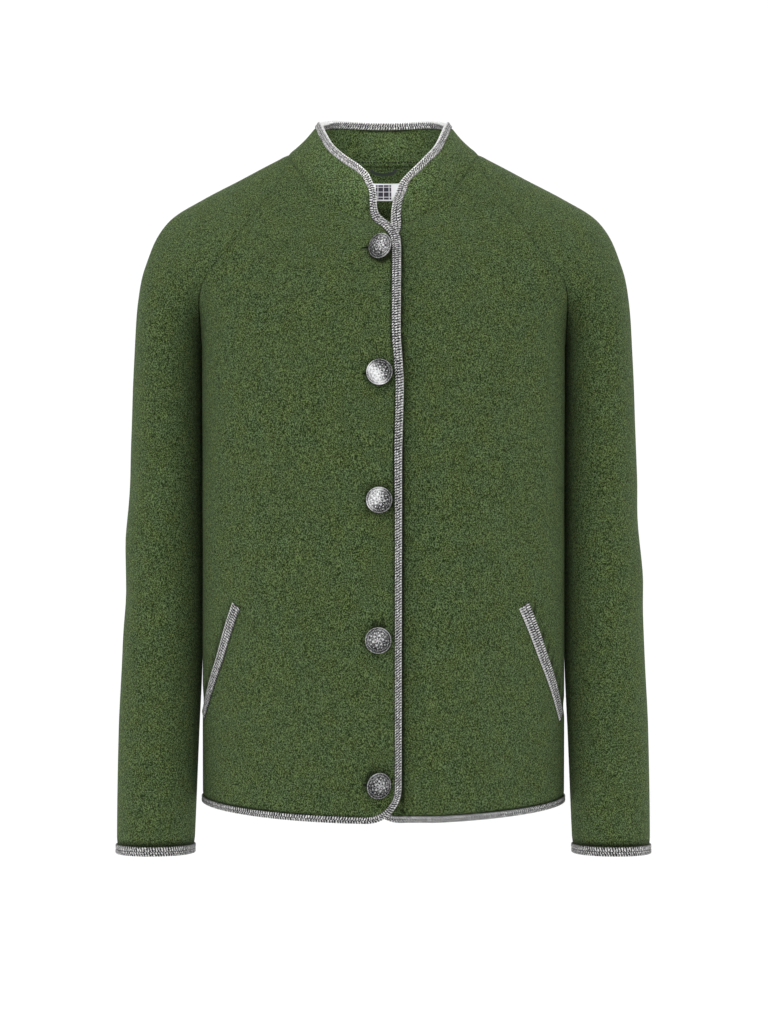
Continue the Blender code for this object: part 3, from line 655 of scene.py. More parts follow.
SEAMS = {"back": "left right top", "front_right": "right top", "front_left": "right top",
         "collar": "top", "sleeve_right": "left right top", "sleeve_left": "left right top"}
BOUND = {"back": {"bottom": "hem"}, "front_right": {"bottom": "hem", "left": "front"},
         "front_left": {"bottom": "hem", "left": "front"},
         "collar": {"bottom": "rim", "left": "right_end", "right": "left_end"},
         "sleeve_right": {"bottom": "cuff"}, "sleeve_left": {"bottom": "cuff"}}
GROOVES = {
    # depth of the groove and its width, how dark its painted shade is and the width of that dark line
    "seam": (.00028, .0014, .26, .0010),
    "bound": (.0005, .0016, 1, .0010),
    "mouth": (.0014, .0020, 1, .0013),
}
GROOVE_IN = .0008                       # from the braid's sewn edge to its groove, under the braid
ALLOWANCE = (.00020, .0055, .0026)      # ridge beside a seam: height, distance from it, width
NECK_RIDGE = (.0008, .0026, .0018)      # the same inside the collar, where it is stitched flat
SHADE_WIDTH = .0018                     # of the shade round a button


def pressed_and_painted_shade(name, points):
    """How far the cloth sinks in (metres) and how dark its painted shade is there (0 to 1).

    A seam is a bell-shaped groove with a faint ridge beside it, where the allowance lies
    underneath; the sewn edge of the braid and the pocket's mouth are narrower grooves. Each
    groove gets a painted dark line as its shade, as do the cloth round each button and the
    left front under the right front's edge.
    """
    away = from_edges(points)
    lines = []
    for edge in SEAMS[name].split():
        d = away[edge]
        if name == "collar":
            # its first row lies under the seam
            d = np.abs(d - np.linalg.norm(points[1] - points[0], axis=-1))
        lines.append(("seam", d))
    for edge, kind in BOUND[name].items():
        lines.append(("bound", away[edge] - braid_width(kind, points) + GROOVE_IN))
    if name.startswith("front"):
        # the pocket's mouth lies along the outer edge of its braid
        side = -1 if name == "front_right" else 1
        x, z = np.array(POCKET[name[6:]]), np.array(POCKET["z"])
        out = BRAID_WIDTH["pocket_" + name[6:]] / 2 + .0010
        mouth = np.stack([side * (x + .95 * out), z + .3 * out], -1)
        lines.append(("mouth", line_away(points[..., ::2], mouth)))
    depth = np.zeros(points.shape[:2])
    dark = np.zeros(points.shape[:2])
    for kind, d in lines:
        deep, wide, shade, dark_width = GROOVES[kind]
        depth += deep * bell(d, wide)
        dark = np.maximum(dark, shade * bell(d, dark_width))
        if kind == "seam":
            height, middle, wide = ALLOWANCE
            depth -= height * bell(d - middle, wide)
    if name == "front_right":
        # the shade under each button
        for x, z, out in BUTTON_PLACES:
            d = np.hypot(points[..., 0] - x, points[..., 2] - z) - BUTTON_R
            dark = np.maximum(dark, out * bell(np.maximum(d, 0), SHADE_WIDTH))
    if name == "front_left":
        # the shade of the right front's edge, which lies over it
        x, z = smooth(-points[..., 2], FRONT_EDGE, "down", "right"), points[..., 2]
        d = points[..., 0] - x - .0022
        under = ease((z + .640) / .02)
        dark = np.maximum(dark, under * np.maximum(bell(d, .0016), .30 * bell(d, .006)))
    return depth, dark


def cloth_wall(outer, inner, closed_from=None):
    """Points and faces of the closed wall between two grids; a tube from row closed_from down."""
    rows, cols = outer.shape[:2]
    index = np.arange(rows * cols).reshape(rows, cols)
    last = rows
    if closed_from is not None:
        index[closed_from:, -1] = index[closed_from:, 0]
        last = closed_from + 1
    under = index + rows * cols
    faces = np.concatenate([
        quads(index), quads(under)[:, ::-1],
        quads(np.stack([under[0], index[0]])), quads(np.stack([index[-1], under[-1]])),
        quads(np.stack([under[:last, 0], index[:last, 0]], 1)),
        quads(np.stack([index[:last, -1], under[:last, -1]], 1)),
    ])
    used, faces = np.unique(faces, return_inverse=True)
    return np.concatenate([outer.reshape(-1, 3), inner.reshape(-1, 3)]), used, faces.reshape(-1, 4)


# Felted wool: fine light and dark specks about a millimetre across, a little taller than they
# are wide as in the knitting underneath, over soft mottling.
wool, where, dark = finish("boiled_wool", "pressed_and_painted_shade", roughness=0.95, sheen_weight=0.10,
                           sheen_roughness=0.55, sheen_tint=(0.50, 0.66, 0.36, 1),
                           specular_ior_level=0.10)
tall = where.node("VectorMath", {0: where, 1: (1, 1, 0.66)}, operation="MULTIPLY")
speck = tall.noise(1300, 1.0, 0.6).step(0.44, 0.64)
curl = where.noise(450, 2.0, 0.6).step(0.32, 0.68)
patch = where.noise(150, 3.0, 0.55).step(0.30, 0.70)
cloud = where.noise(22, 3.0, 0.5).step(0.30, 0.70)
grain = speck * 0.82 + curl * 0.18
green = grain.mix((0.003, 0.009, 0.000), (0.138, 0.196, 0.078))
tint = where.noise(75, 4.0, 0.6).step(0.32, 0.68).mix((1.04, 1.00, 0.88), (0.94, 1.00, 1.08))
green = green.node("VectorMath", {0: green, 1: tint}, operation="MULTIPLY")
green = (patch * 0.08).mix(green, (0.028, 0.052, 0.010))
green = (cloud * 0.10).mix(green, (0.056, 0.080, 0.034))
# painted shade: the cloth goes near-black along its grooves, round the buttons and under the right
# front's edge
green = (dark * 0.97).mix(green, (0.002, 0.003, 0.001))
paint(wool, green, height=grain * 0.9 + patch * 0.5, depth=0.0007, strength=0.6)

body_rows = finer(YOKE_ROWS + BODY_ROWS, 6)
arm_rows = finer(YOKE_ROWS + SLEEVE_ROWS, 6)
arm_closed = (len(YOKE_ROWS) - 1) * 6
front_cols = np.union1d(finer(FRONT_COLS, 5), .999 - NEAR_SEAM)
back_cols = np.concatenate([np.linspace(-.999, .999, 111), NEAR_SEAM - .999, .999 - NEAR_SEAM])
back_cols = np.unique(back_cols)
arm_round = np.union1d(np.linspace(0, 1, 89), np.concatenate([NEAR_SEAM, 1 - NEAR_SEAM]) * .6)
arm_width = .03 + .27 * np.minimum(arm_rows, 1)     # roughly, from seam to seam
arm_gap = np.where(arm_rows < 1, RAGLAN_GAP / arm_width, 0)[:, None]
arm_grid = (arm_rows[:, None], arm_gap + (1 - 2 * arm_gap) * arm_round[None, :])
collar_rows = np.concatenate([[-.035], finer(COLLAR_ROWS, 4)])      # its first row lies under the seam
collar_half = COLLAR_COLS.index(0)
grids = {
    "back": surface("back", *pair(body_rows, back_cols)),
    "front_right": surface("front_right", *pair(body_rows, front_cols)),
    "front_left": surface("front_left", *pair(body_rows, front_cols)),
    "sleeve_right": surface("sleeve_right", *arm_grid),
    "sleeve_left": surface("sleeve_left", *arm_grid),
}
halves = (surface("collar_right", *pair(collar_rows, finer(COLLAR_COLS[:collar_half + 1], 5)[:-1])),
          surface("collar_left", *pair(collar_rows, finer(COLLAR_COLS[collar_half:], 5))))
grids["collar"] = tuple(np.concatenate(both, axis=1) for both in zip(*halves))
collar_middle = collar_half * 5

CUTS = (
    # panel, widest and longest of the cut, flat area, how it is held
    ("back", (.46, .62), .235, "hung"),
    ("front_right", (.24, .58), .128, "hung"),
    ("front_left", (.24, .58), .128, "hung"),
    ("sleeve_right", (.40, .66), .170, "hung"),
    ("sleeve_left", (.40, .66), .170, "hung"),
    ("collar", (.46, .062), .0205, "hung"),
)
panels = {}
for name, flat, area, held in CUTS:
    points, normals = grids[name]
    depth, shade = pressed_and_painted_shade(name, points)
    outer = points - normals * depth[..., None]
    inner = points - normals * CLOTH
    if name == "collar":
        # the allowance above the neck seam stands out a little on the inside
        away = np.linalg.norm(points - points[1], axis=-1, keepdims=True)
        height, middle, wide = NECK_RIDGE
        inner -= normals * height * bell(away - middle, wide)
    wall, used, faces = cloth_wall(outer, inner, arm_closed if name.startswith("sleeve") else None)
    # painted shade: the seams are painted darker still on the inside
    shade = np.concatenate([shade.ravel(), np.minimum(2.8 * shade.ravel(), .8)])
    panel = new_piece(name + "_cloth", wall[used], faces, wool, values={"pressed_and_painted_shade": shade[used]})
    panels[name] = panel
    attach(panel, "root")
    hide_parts(name)

# ---------------------------------------------------------------- braid
# Grey knitted braid folded over every free edge and sewn through. One length runs round the hem,
# both fronts and the collar, and one round each cuff; a sewn valley parts its face in two cords.
BRAID = 0.0008          # its thickness
AIR = 0.0005            # between it and the cloth inside its fold
STATION = 0.0024        # spacing of the sections along it
RIB = 0.0024            # spacing of its ribs
CORNER_REACH = 0.014    # how far from a corner its legs turn to the edge's own normal
NEAR, EVEN = 9, 0.0008  # how many of the cloth's points a point laid on it follows, how evenly
FACE = np.array((
    # place: 0 where the face leaves the fold, .5 in the valley, 1 at the sewn edge; thickness
    (0.00, .12, .28, .40, .46, .50, .54, .62, .76, .90, .97, 1.00),
    (1.00, 1.04, 1.04, .96, .78, .62, .78, .96, 1.00, .92, .66, .30),
))
VALLEY = {"hem": .33, "front": .70, "left_end": .45, "rim": .45, "right_end": .45, "cuff": .39}


def near_cloth(*parts):
    """A search tree over closely spaced points of the named forms, with points and normals."""
    found = [surface(name, u, v) for name, u, v in parts]
    points = np.concatenate([p.reshape(-1, 3) for p, _ in found])
    normals = np.concatenate([n.reshape(-1, 3) for _, n in found])
    tree = KDTree(len(points))
    for i, p in enumerate(points):
        tree.insert(p, i)
    tree.balance()
    return tree, points, normals


def settle(where, on):
    """The points dropped onto the cloth along the mean normal of its nearest points, and that."""
    tree, points, normals = on
    flat = where.reshape(-1, 3)
    near = np.array([[(i, far) for _, i, far in tree.find_n(q, NEAR)] for q in flat])
    some, weight = near[..., 0].astype(int), 1 / (near[..., 1:] + EVEN) ** 2
    weight = weight / weight.sum(1, keepdims=True)
    n = unit((normals[some] * weight).sum(1))
    high = (((flat[:, None] - points[some]) * n[:, None]).sum(-1, keepdims=True) * weight).sum(1)
    return (flat - n * high).reshape(where.shape), n.reshape(where.shape)


def along(p, loop):
    """Directions along a path, halving the turn at each point."""
    ahead = unit(np.roll(p, -1, axis=0) - p)
    behind = np.roll(ahead, 1, axis=0)
    if not loop:
        ahead[-1] = ahead[-2]
        behind[0] = ahead[0]
    return unit(ahead + behind)


def spaced(columns, spacing):
    """Columns of numbers along a closed path, its points first, at even spacing along it."""
    closed = np.concatenate([columns, columns[:1]])
    run = lengths(closed[:, :3])
    at = np.linspace(0, run[-1], int(run[-1] / spacing) + 1)[:-1]
    return np.stack([np.interp(at, run, c) for c in closed.T], 1)


def bound(rows, corners, ons):
    """Closed sections of a braid folded over the cloth's edge, and their uv.

    A row holds a point of the edge, the cloth's normal, the way inwards along its grid lines
    (lead), the braid's width, the place of its valley and which of ons it lies on. Each leg
    follows lead, turned to the edge's own normal near the corners, and is dropped onto the
    cloth; the fold is half an oval round the edge. The uv is the length along the braid and
    the place across it, 0 at the fold and 1 at the sewn edge.
    """
    p, n, lead = rows[:, :3], unit(rows[:, 3:6]), unit(rows[:, 6:9])
    width, valley, which = rows[:, 9], rows[:, 10], np.rint(rows[:, 11])
    t = along(p, True)
    n = unit(n - t * (n * t).sum(-1, keepdims=True))
    d = np.cross(t, n)
    for c in corners:
        near = np.exp(-((p - c) ** 2).sum(-1) / CORNER_REACH ** 2)[:, None]
        lead = unit(lead * (1 - near) + d * near)
    leg = lead * ((width - AIR - BRAID) / (lead * d).sum(-1))[:, None]
    place, thick = FACE
    share = np.where(place < .5, 2 * place * valley[:, None], 1 - 2 * (1 - place) * (1 - valley[:, None]))
    where = p[:, None] + leg[:, None] * share[..., None]
    face, face_n = np.zeros_like(where), np.zeros_like(where)
    for k, on in enumerate(ons):
        face[which == k], face_n[which == k] = settle(where[which == k], on)
    outer = face + face_n * (AIR + BRAID * thick)[:, None]
    inner = face - face_n * (CLOTH + AIR + BRAID * thick)[:, None]
    turn = np.radians(np.linspace(90, -90, 11)[1:-1])
    out = (AIR + BRAID) * np.abs(np.cos(turn)) ** .75
    up = (CLOTH / 2 + AIR + BRAID) * np.sign(np.sin(turn)) * np.abs(np.sin(turn)) ** .75 - CLOTH / 2
    fold_ = p[:, None] - d[:, None] * out[:, None] + n[:, None] * up[:, None]
    lining = face[:, ::-3] - face_n[:, ::-3] * (CLOTH + AIR)
    facing = face[:, 2::3] + face_n[:, 2::3] * AIR
    ring = np.concatenate([outer[:, ::-1], fold_, inner, lining, facing, outer[:, -1:]], 1)
    across = np.concatenate([.15 + .85 * place[::-1], .15 * np.sin(turn), -.15 - .85 * place,
                             -1 + .7 * np.linspace(0, 1, lining.shape[1]),
                             .3 + .7 * np.linspace(0, 1, facing.shape[1]), [1]])
    ring = np.concatenate([ring, ring[:1]])
    return ring, crossed(lengths(np.append(p, p[:1], 0)), across)


# Knitted wool in two greys: ribs lie across each cord and lean a little, lighter on their
# crests. A painted highlight runs along the fold's edge, strongest round the neck and taken
# away at the bottom of the hem and cuffs, where they are in shade; painted shade darkens
# the sewn valley, a crease near the fold and the sewn edge.
yarn, where, run = finish("grey_braid", "run", roughness=0.85, sheen_weight=0.10,
                          sheen_roughness=0.5, specular_ior_level=0.2)
u, v = run.part(0), run.math("ABSOLUTE", run.part(1))
height = where.part(2)
# painted shade: below this height the fold's painted highlight is taken away
low = height.step(-0.580, -0.600)
# painted highlight: the fold is painted brighter round the neck
neck = height.step(-0.080, -0.050)
ragged = where.noise(750, 2.0, 0.6)
uneven = where.noise(620, 2.0, 0.6).step(0.36, 0.62)
second = (v - 0.575).step(-0.02, 0.02)
lean = (ragged - 0.5) * 1.1 + second * 0.45 - v * 1.1
rib = ((u / RIB + lean) * (2 * np.pi)).wave("COSINE")
# painted shade in the sewn valley and along a crease near the fold
valley = v.away(0.575).step(0.070, 0.02)
crease = v.away(0.27).step(0.10, 0.03)
# painted highlight along the fold's edge
painted_fold_light = v.step(0.17, 0.09)
# painted shadow along the sewn edge
sewn = v.step(0.88, 0.99)
cord = rib.step(0.28, 0.68) * (uneven * 0.62 + 0.38) * (1 - valley * 0.70) * (1 - crease * 0.50)
painted_light = painted_fold_light * (0.34 - low * 0.34 + neck * 0.30)
tone = (cord * (1 - painted_fold_light * 0.40) + painted_light) * (1 - sewn * 0.6)
grey = tone.mix((0.004, 0.004, 0.006), (0.80, 0.80, 0.79))
paint(yarn, grey, height=cord, depth=0.0005, strength=1.0)

FINE = np.linspace(0, 1, 61)
TALL = np.concatenate([np.linspace(0, 1, 60), np.linspace(1, 2, 110)[1:]])
HALF_ROUND = np.linspace(0, 1, 121)
on_right = near_cloth(("front_right", *pair(TALL, FINE)), ("collar_right", *pair(FINE[::2], -HALF_ROUND)))
on_left = near_cloth(("front_left", *pair(TALL, FINE)), ("collar_left", *pair(FINE[::2], HALF_ROUND)))
on_back = near_cloth(("back", *pair(TALL[-40:], 2 * FINE - 1)))


def inwards(name, points):
    """Directions inwards from a grid's free edges along its lines; a free corner takes both."""
    lead = np.zeros_like(points)
    if name != "back":
        lead[:, 0] = unit(points[:, 1] - points[:, 0])
    if name == "collar":
        lead[:, -1] = unit(points[:, -2] - points[:, -1])
    lead[-1] += unit(points[-2] - points[-1])
    return lead


ROUTE = (
    # panel, its grid points in order, width and valley, which cloth it lies on
    ("back", np.s_[-1, 1:-1], "hem", 0),
    ("front_left", np.s_[-1, :0:-1], "hem", 1),
    ("front_left", np.s_[::-1, 0], "front", 1),
    ("collar", np.s_[1:, -1], "left_end", 1),
    ("collar", np.s_[-1, -2:collar_middle - 1:-1], "rim", 1),
    ("collar", np.s_[-1, collar_middle - 1:0:-1], "rim", 2),
    ("collar", np.s_[:0:-1, 0], "right_end", 2),
    ("front_right", np.s_[:, 0], "front", 2),
    ("front_right", np.s_[-1, 1:], "hem", 2),
)
stretches = []
for name, part, kind, which in ROUTE:
    points, normals = grids[name][0], grids[name][1]
    lead = unit(inwards(name, points)[part])
    width = braid_width(kind, points[part])
    facts = np.stack([width, 0 * width + VALLEY[kind], 0 * width + which], 1)
    stretches.append(np.concatenate([points[part], normals[part], lead, facts], 1))
even = spaced(np.concatenate(stretches), STATION)
even[:, 9:11] = sum(np.roll(even[:, 9:11], k, 0) for k in (-2, -1, 0, 1, 2)) / 5
corners = (grids["front_left"][0][-1, 0], grids["front_right"][0][-1, 0],
           grids["collar"][0][-1, 0], grids["collar"][0][-1, -1])
ring, uv = bound(even, corners, (on_back, on_left, on_right))
edge_braid = new_piece("edge_braid", ring, sheet_of(ring), yarn, uv=uv, weld=True)
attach(edge_braid, "root")
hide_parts("edge_binding")

for side in ("right", "left"):
    points, normals = grids["sleeve_" + side]
    cuff = np.concatenate([points[-1], normals[-1], unit(points[-4] - points[-1])], 1)[:-1]
    cuff = spaced(cuff[::-1] if side == "left" else cuff, STATION)
    on = near_cloth(("sleeve_" + side, *pair(np.linspace(1.955, 2, 14), np.linspace(0, 1, 161))))
    facts = np.tile((BRAID_WIDTH["cuff"], VALLEY["cuff"], 0), (len(cuff), 1))
    ring, uv = bound(np.concatenate([cuff, facts], 1), (), (on,))
    braid = new_piece("cuff_braid_" + side, ring, sheet_of(ring), yarn, uv=uv, weld=True)
    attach(braid, "root")
    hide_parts("cuff_binding_" + side)

# ---------------------------------------------------------------- pockets
# Each front has a slanting pocket let in beside the side seam. What shows of it is a flat strip
# of the same braid along its mouth, and the shadow of the mouth on the side seam's side.
RAISED = 0.0009         # the strip's clearance over the cloth it lies on
STRIP = np.array((
    # place across, -1 to 1; height, in thicknesses of the braid
    (-1.0, -.96, -.86, -.60, -.30, -.18, -.10, .0, .30, .60, .86, .96, 1.0),
    (.35, .70, .95, 1.00, .95, .72, .60, .85, 1.00, 1.00, .95, .70, .35),
))


def evened(rows, reach):
    """Columns of numbers, each replaced by the mean of its neighbours this far each way."""
    around = [(reach, reach)] + [(0, 0)] * (rows.ndim - 1)
    padded = np.pad(rows, around, mode="reflect", reflect_type="odd")
    return sum(padded[k:k + len(rows)] for k in range(2 * reach + 1)) / (2 * reach + 1)


def laid(name, path, width, on, across, low, high, material):
    """A thin closed piece over the cloth: a ruled strip of this width along the path.

    across runs -1..1 over the width; low and high are its faces' heights over the cloth at
    each of those places. The uv is the length along it in metres and the place across it, 0..1.
    """
    p, n = (evened(q, 4) for q in settle(path, on))
    side = np.cross(n, along(p, False)) * np.asarray(width).reshape(-1, 1) / 2
    q, q_n = (evened(c, 4) for c in settle(p[:, None] + side[:, None] * across[:, None], on))
    wall, used, faces = cloth_wall(q + q_n * high[..., None], q + q_n * low[..., None])
    uv = crossed(lengths(p), across * .5 + .5).reshape(-1, 2)
    return new_piece(name, wall[used], faces, material, uv=np.tile(uv, (2, 1))[used])


def nearest(x, z, on):
    """Numbers of the cloth points that lie behind these places, seen from the front."""
    points = on[1]
    return ((points[:, None, 0] - x) ** 2 + (points[:, None, 2] - z) ** 2).argmin(0)


for which, side, on in (("right", -1, on_right), ("left", 1, on_left)):
    t = np.linspace(0, 5, 61)
    x, z = side * np.interp(t, range(6), POCKET[which]), np.interp(t, range(6), POCKET["z"])
    x, z = evened(np.stack([x, z], -1), 6).T
    path = np.stack([x, evened(on[1][nearest(x, z, on), 1], 6), z], -1)
    across, high = STRIP
    strip = laid("pocket_braid_" + which, path, np.full(61, BRAID_WIDTH["pocket_" + which]), on,
                 side * across, np.full(13, RAISED), RAISED + BRAID * high, yarn)
    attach(strip, "root")
    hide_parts("pocket_binding_" + which)
    BRAID_WIDTH["pocket_" + which]

# ---------------------------------------------------------------- buttonholes
# Each button is passed through a hole cut into the right front from its shank outwards: two
# lips of close green stitches, laid flat on the cloth, with the slit between them painted near-black as
# its shade.
BUTTONS = (
    # place x, z; how far it is turned sideways and up, in degrees; length of the shank; reach of
    # the hole from the middle of the shank and its height over the shank's foot; the side of its
    # painted highlight, in degrees from the wearer's left upwards, and how strong it is
    (.0012, -.0922, -32, 11, .0066, .0202, .0020, 20, .30),
    (-.0031, -.2029, -5, 6, .0038, .0148, -.0006, 215, 1.0),
    (-.0042, -.3146, 5, 6, .0038, .0130, -.0008, 150, .70),
    (-.0042, -.4371, -4, 2, .0038, .0130, -.0008, 120, .22),
    (-.0072, -.5625, 26, -5, .0062, .0105, -.0008, 60, .16),
)
HOLE = 0.0215           # its length
LIPS = 0.0030           # width over both lips
LIP = np.array((
    # place across, -1 to 1; height, in shares of LIP_HEIGHT
    (-1, -.9, -.6, -.3, -.12, 0, .12, .3, .6, .9, 1),
    (.1, .5, 1, .9, .3, .1, .3, .9, 1, .5, .1),
))
LIP_HEIGHT = 0.0007
LIP_SUNK = 0.0004

thread, where, run = finish("green_thread", "run", roughness=0.8, specular_ior_level=0.2)
u, v = run.part(0), run.part(1)
# painted shade: the slit between the lips is painted near-black
slit = v.away(0.5).step(0.44, 0.30)
twist = ((u / 0.0008 + where.noise(900) * 0.5) * (2 * np.pi)).wave("SINE")
shade = (twist * 0.7 + 0.3) * (1 - slit)
paint(thread, shade.mix((0.002, 0.003, 0.001), (0.045, 0.064, 0.026)), height=shade, depth=0.0003)

on_front = near_cloth(("front_right", *pair(TALL, np.linspace(0, .5, 61))))
for number, (x, z, yaw, pitch, shank, reach, above, side, glint_strength) in enumerate(BUTTONS, 1):
    t, z = np.linspace(x - reach + HOLE, x - reach, 25), z + above
    path = np.stack([t, on_front[1][nearest(t, z, on_front), 1], np.full(25, z)], -1)
    taper = np.sqrt(1 - np.linspace(-.97, .97, 25) ** 8)
    across, high = LIP
    lips = laid(f"buttonhole_{number}", path, LIPS * taper, on_front, across,
                0 * high - LIP_SUNK, LIP_HEIGHT * high, thread)
    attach(lips, "root")

# ---------------------------------------------------------------- buttons
# Five domed buttons of cast pewter with a raised rim, each on its shank through a buttonhole.
# A sprig rosette stands up from the face, with short ticks inside the rim; hollows stay dark.
SHANK_R = 0.0022
RELIEF = 0.00055        # how high it stands over the face
PROFILE = (
    # from the shank's foot to the middle of the face: radius, height over the shank's end
    (.0, .0022, .0022, .0056, .0098, .0112, .0115, .01145, .0111, .0106, .00995, .0092, .0075,
     .0042, .0),
    (.0, .0, .0, .0, .0, .0006, .0013, .0019, .0023, .0022, .0019, .0021, .0028, .0034, .0036),
)
BOSS = .0008            # half its width; so for the stems, and for the ticks' length
STEM, STEM_FROM, STEM_TO = .00022, .0022, .0075
TICKS, TICK_R, TICK = 44, .0091, .0006
LEAVES = (
    # ring's radius, how many, leaf's length, width, lean from the radius in degrees, first angle
    (.0018, 6, .0011, .0006, 0, 0),
    (.0044, 6, .0013, .0006, 34, 24),
    (.0044, 6, .0013, .0006, -34, 36),
    (.0070, 12, .0007, .0006, 0, 15),
)


def relief(r, angle):
    """Relief of the face, 0 to 1: a boss, rings of leaves shaped as bell curves, and ticks."""
    x, y = r * np.cos(angle), r * np.sin(angle)
    high = bell(r, BOSS)
    for ring, count, long, wide, lean, first in LEAVES:
        for k in range(count):
            at = np.radians(first + 360 * k / count)
            dx, dy = x - ring * np.cos(at), y - ring * np.sin(at)
            turn = at + np.radians(lean)
            a, b = dx * np.cos(turn) + dy * np.sin(turn), dy * np.cos(turn) - dx * np.sin(turn)
            high = np.maximum(high, np.exp(-(a / long) ** 2 - (b / wide) ** 2))
    stems = bell(r * np.abs(np.sin(3 * angle)) / 3, STEM) * ((r > STEM_FROM) & (r < STEM_TO))
    ticks = (.5 + .5 * np.cos(TICKS * angle)) * bell(r - TICK_R, TICK) * .6
    return np.maximum.reduce([high, .7 * stems, ticks])


# the attribute holds the pewter's wear, bright on the relief and rim, plus a painted highlight on one
# side of each button
pewter, where, wear_and_glint = finish("old_pewter", "wear_and_glint", metallic=0.75, specular_ior_level=0.4)
grime = where.noise(900, 3.0, 0.65).step(0.30, 0.72)
bright = wear_and_glint * 1.05 + grime * 0.40 - 0.26
metal = bright.step(-0.05, 0.85).mix((0.002, 0.002, 0.003), (0.74, 0.74, 0.75))
paint(pewter, metal, rough=0.62 - bright * 0.30, height=grime, depth=0.0002, strength=0.5)

t = np.concatenate([np.linspace(0, 10, 41)[:-1], np.linspace(10, 14, 45)])
radius, lift = (np.interp(t, range(15), row) for row in PROFILE)
lift[2:-2] = np.convolve(lift, (.1, .2, .4, .2, .1), "valid")
angle = np.linspace(0, 2 * np.pi, 145)
face = (t >= 10)[:, None] * relief(radius[:, None], angle[None, :])
rim = (bell(radius - BUTTON_R, .0004) * (t > 5))[:, None]
for number, (x, z, yaw, pitch, shank, reach, above, side, glint_strength) in enumerate(BUTTONS, 1):
    (y,) = on_front[1][nearest(np.array([x]), z, on_front), 1]
    (spot,), (n,) = settle(np.array([(x, y, z)]), on_front)
    yaw, pitch = np.radians(yaw), np.radians(pitch)
    axis = np.array([np.sin(yaw) * np.cos(pitch), -np.cos(yaw) * np.cos(pitch), np.sin(pitch)])
    right = unit(np.cross(axis, (0, 0, 1)))
    up = np.cross(right, axis)
    spin = .6 * number
    foot = spot + n * (RAISED + SHANK_R * np.sqrt(1 - (axis @ n) ** 2))
    along_axis = np.where(t <= 1, 0, shank + lift)[:, None] + RELIEF * face
    # bright on the relief and on the rim, where the pewter is worn, and on one side, a painted highlight
    towards = -radius[:, None] * np.cos(angle + spin + np.radians(side)) / radius.max()
    painted_glint = glint_strength * bell(towards - .45, .45)
    wear_and_glint_here = np.clip(.10 + .50 * np.maximum(face, .6 * rim) + painted_glint * (.45 + .55 * face), 0, 1)
    ray = right * np.cos(angle + spin)[:, None] + up * np.sin(angle + spin)[:, None]
    disc = foot + radius[:, None, None] * ray + axis * along_axis[..., None]
    button = new_piece(f"pewter_button_{number}", disc, sheet_of(disc), pewter,
                       values={"wear_and_glint": wear_and_glint_here}, weld=True)
    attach(button, "root")
    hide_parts(f"button_{number}")

# ---------------------------------------------------------------- hanger loop
# A short length of dark green ribbon, its ends caught in the neck seam, hanging inside the back.
LOOP_WIDTH = 0.0031
LOOP_THICK = 0.0012
LOOP = (
    # x and z of its middle line
    (-.0118, -.0112, -.0075, 0, .0075, .0112, .0118),
    (.0030, .0005, -.0024, -.0034, -.0024, .0005, .0030),
)

ribbon, where, run = finish("dark_ribbon", "run", roughness=0.7, specular_ior_level=0.3)
weft = (run.part(0) * (2 * np.pi / 0.0007)).wave("SINE")
paint(ribbon, weft.mix((0.012, 0.017, 0.014), (0.036, 0.047, 0.040)), height=weft, depth=0.0002)

on_neck = near_cloth(("back", *pair(TALL[:30], 2 * FINE - 1)))
t = np.linspace(0, 6, 49)
x, z = evened(np.stack([np.interp(t, range(7), row) for row in LOOP], -1), 4).T
path = np.stack([x, np.full(49, .056), z], -1)
across = np.array((-1, -.8, -.4, 0, .4, .8, 1))
under = -(CLOTH + .0006)
loop = laid("ribbon_loop", path, np.full(49, LOOP_WIDTH), on_neck, across,
            under - LOOP_THICK * np.array((.7, .9, 1, 1, 1, .9, .7)), np.full(7, under), ribbon)
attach(loop, "root")
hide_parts("hanger_loop")

# ---------------------------------------------------------------- label
# A white woven label sewn flat inside the back below the loop, with a dark grey square crossed
# by white threads woven into its middle.
LABEL_TOP, LABEL_MIDDLE, LABEL_LOW = .078, .116, .154   # levels of the yoke
LABEL_HALF = 0.019
LABEL_THICK = 0.0006

satin, where, run = finish("woven_label", "run", roughness=0.55, specular_ior_level=0.4)
u, v = run.part(0), run.part(1)
block = u.away(0.5).step(0.205, 0.190) * v.away(0.5).step(0.43, 0.41)
lines = u.math("MAXIMUM", u.math("COSINE", (u - 0.5) * (2 * np.pi * 7.0)).step(0.86, 0.95),
               v.math("COSINE", (v - 0.5) * (2 * np.pi * 3.5)).step(0.86, 0.95))
weave = where.noise(2500, 1.0)
ground = weave.mix((0.92, 0.92, 0.94), (1.00, 1.00, 1.00))
paint(satin, (block * (1 - lines * 0.75)).mix(ground, (0.030, 0.026, 0.045)), height=weave, depth=0.0001)

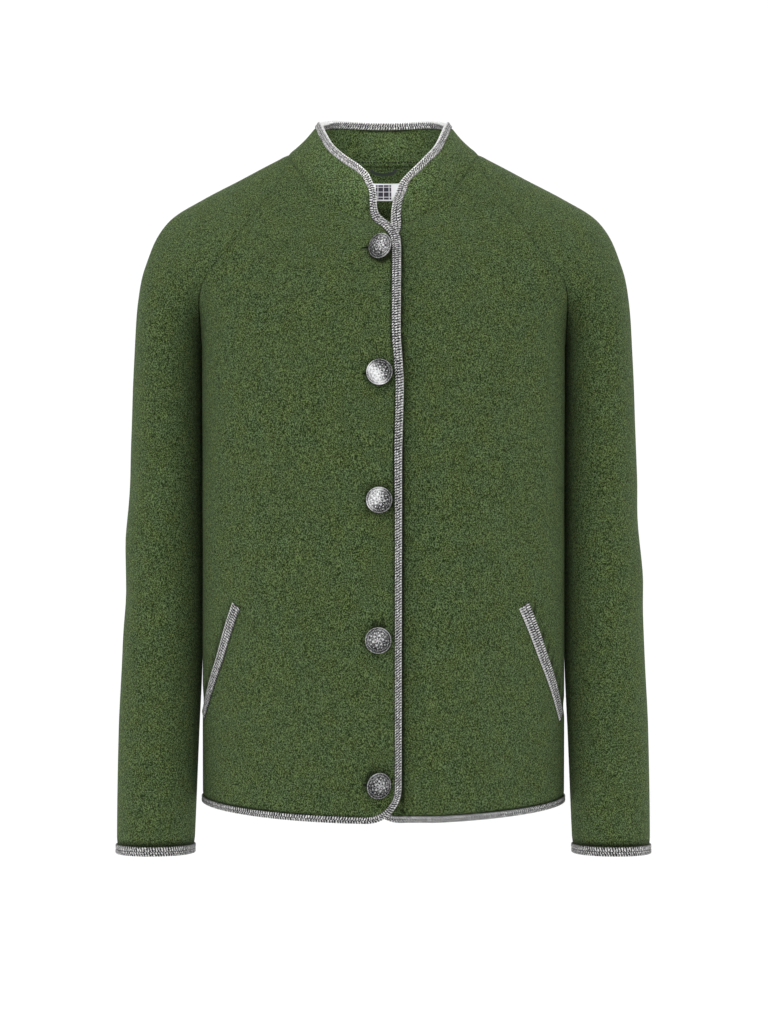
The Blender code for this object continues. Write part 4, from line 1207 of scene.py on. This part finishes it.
half, seam = looked_up(LABEL_MIDDLE, YOKE, "level", "half seam_b")
reach = np.arcsin(LABEL_HALF / half) / np.arcsin(seam / half)
p, n = surface("back", *pair(np.linspace(LABEL_TOP, LABEL_LOW, 17), np.linspace(-reach, reach, 33)))
wall, used, faces = cloth_wall(p - n * (CLOTH + AIR), p - n * (CLOTH + AIR + LABEL_THICK))
uv = crossed(np.linspace(1, 0, 17), np.linspace(0, 1, 33))[..., ::-1].reshape(-1, 2)
label = new_piece("woven_neck_label", wall[used], faces, satin, uv=np.tile(uv, (2, 1))[used])
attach(label, "root")
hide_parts("neck_label")

# ---------------------------------------------------------------- neck stitching
# A row of stitches holds the collar's allowance down inside the back of the neck; each stitch is
# a small rounded bar of the green thread, given the near-black of its buttonhole slit, half sunk in the
# cloth.
STITCH = 0.0018         # length of one
STITCH_EVERY = 0.0030
STITCH_RISE = 0.10      # its place up the collar
STITCH_THICK = 0.0006   # half of its height
STITCH_SUNK = 0.0009    # its middle's distance from the cloth's own inner face

p, n = (q[0] for q in surface("collar_left", *pair([STITCH_RISE], np.linspace(-.42, .42, 400))))
run = lengths(p)
start = np.arange(.002, run[-1] - .004, STITCH_EVERY)
a, b = (np.stack([np.interp(start + d, run, c) for c in p.T], 1) for d in (0, STITCH))
ends = unit(np.stack([np.interp(start + STITCH / 2, run, c) for c in n.T], 1))
bars = np.stack([a, b], 1) - ends[:, None] * (CLOTH + STITCH_SUNK)
ahead = unit(bars[:, 1] - bars[:, 0])
side = np.cross(ahead, ends)
turn = np.linspace(0, 2 * np.pi, 9)
place = np.array((0, .12, .5, .88, 1))
thick = STITCH_THICK * np.array((0, .8, 1, .8, 0))
core = bars[:, 0, None] + (bars[:, 1] - bars[:, 0])[:, None] * place[:, None]
ring = (core[:, :, None] + thick[:, None, None] * (side[:, None, None] * np.cos(turn)[:, None]
                                                   + ends[:, None, None] * np.sin(turn)[:, None]))
faces = np.concatenate([sheet_of(ring[0]) + 45 * k for k in range(len(bars))])
uv = np.tile(crossed(place * STITCH, np.full(9, .5)), (len(bars), 1, 1, 1))
stitches = new_piece("neck_stitches", ring, faces, thread, uv=uv, weld=True)
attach(stitches, "root")
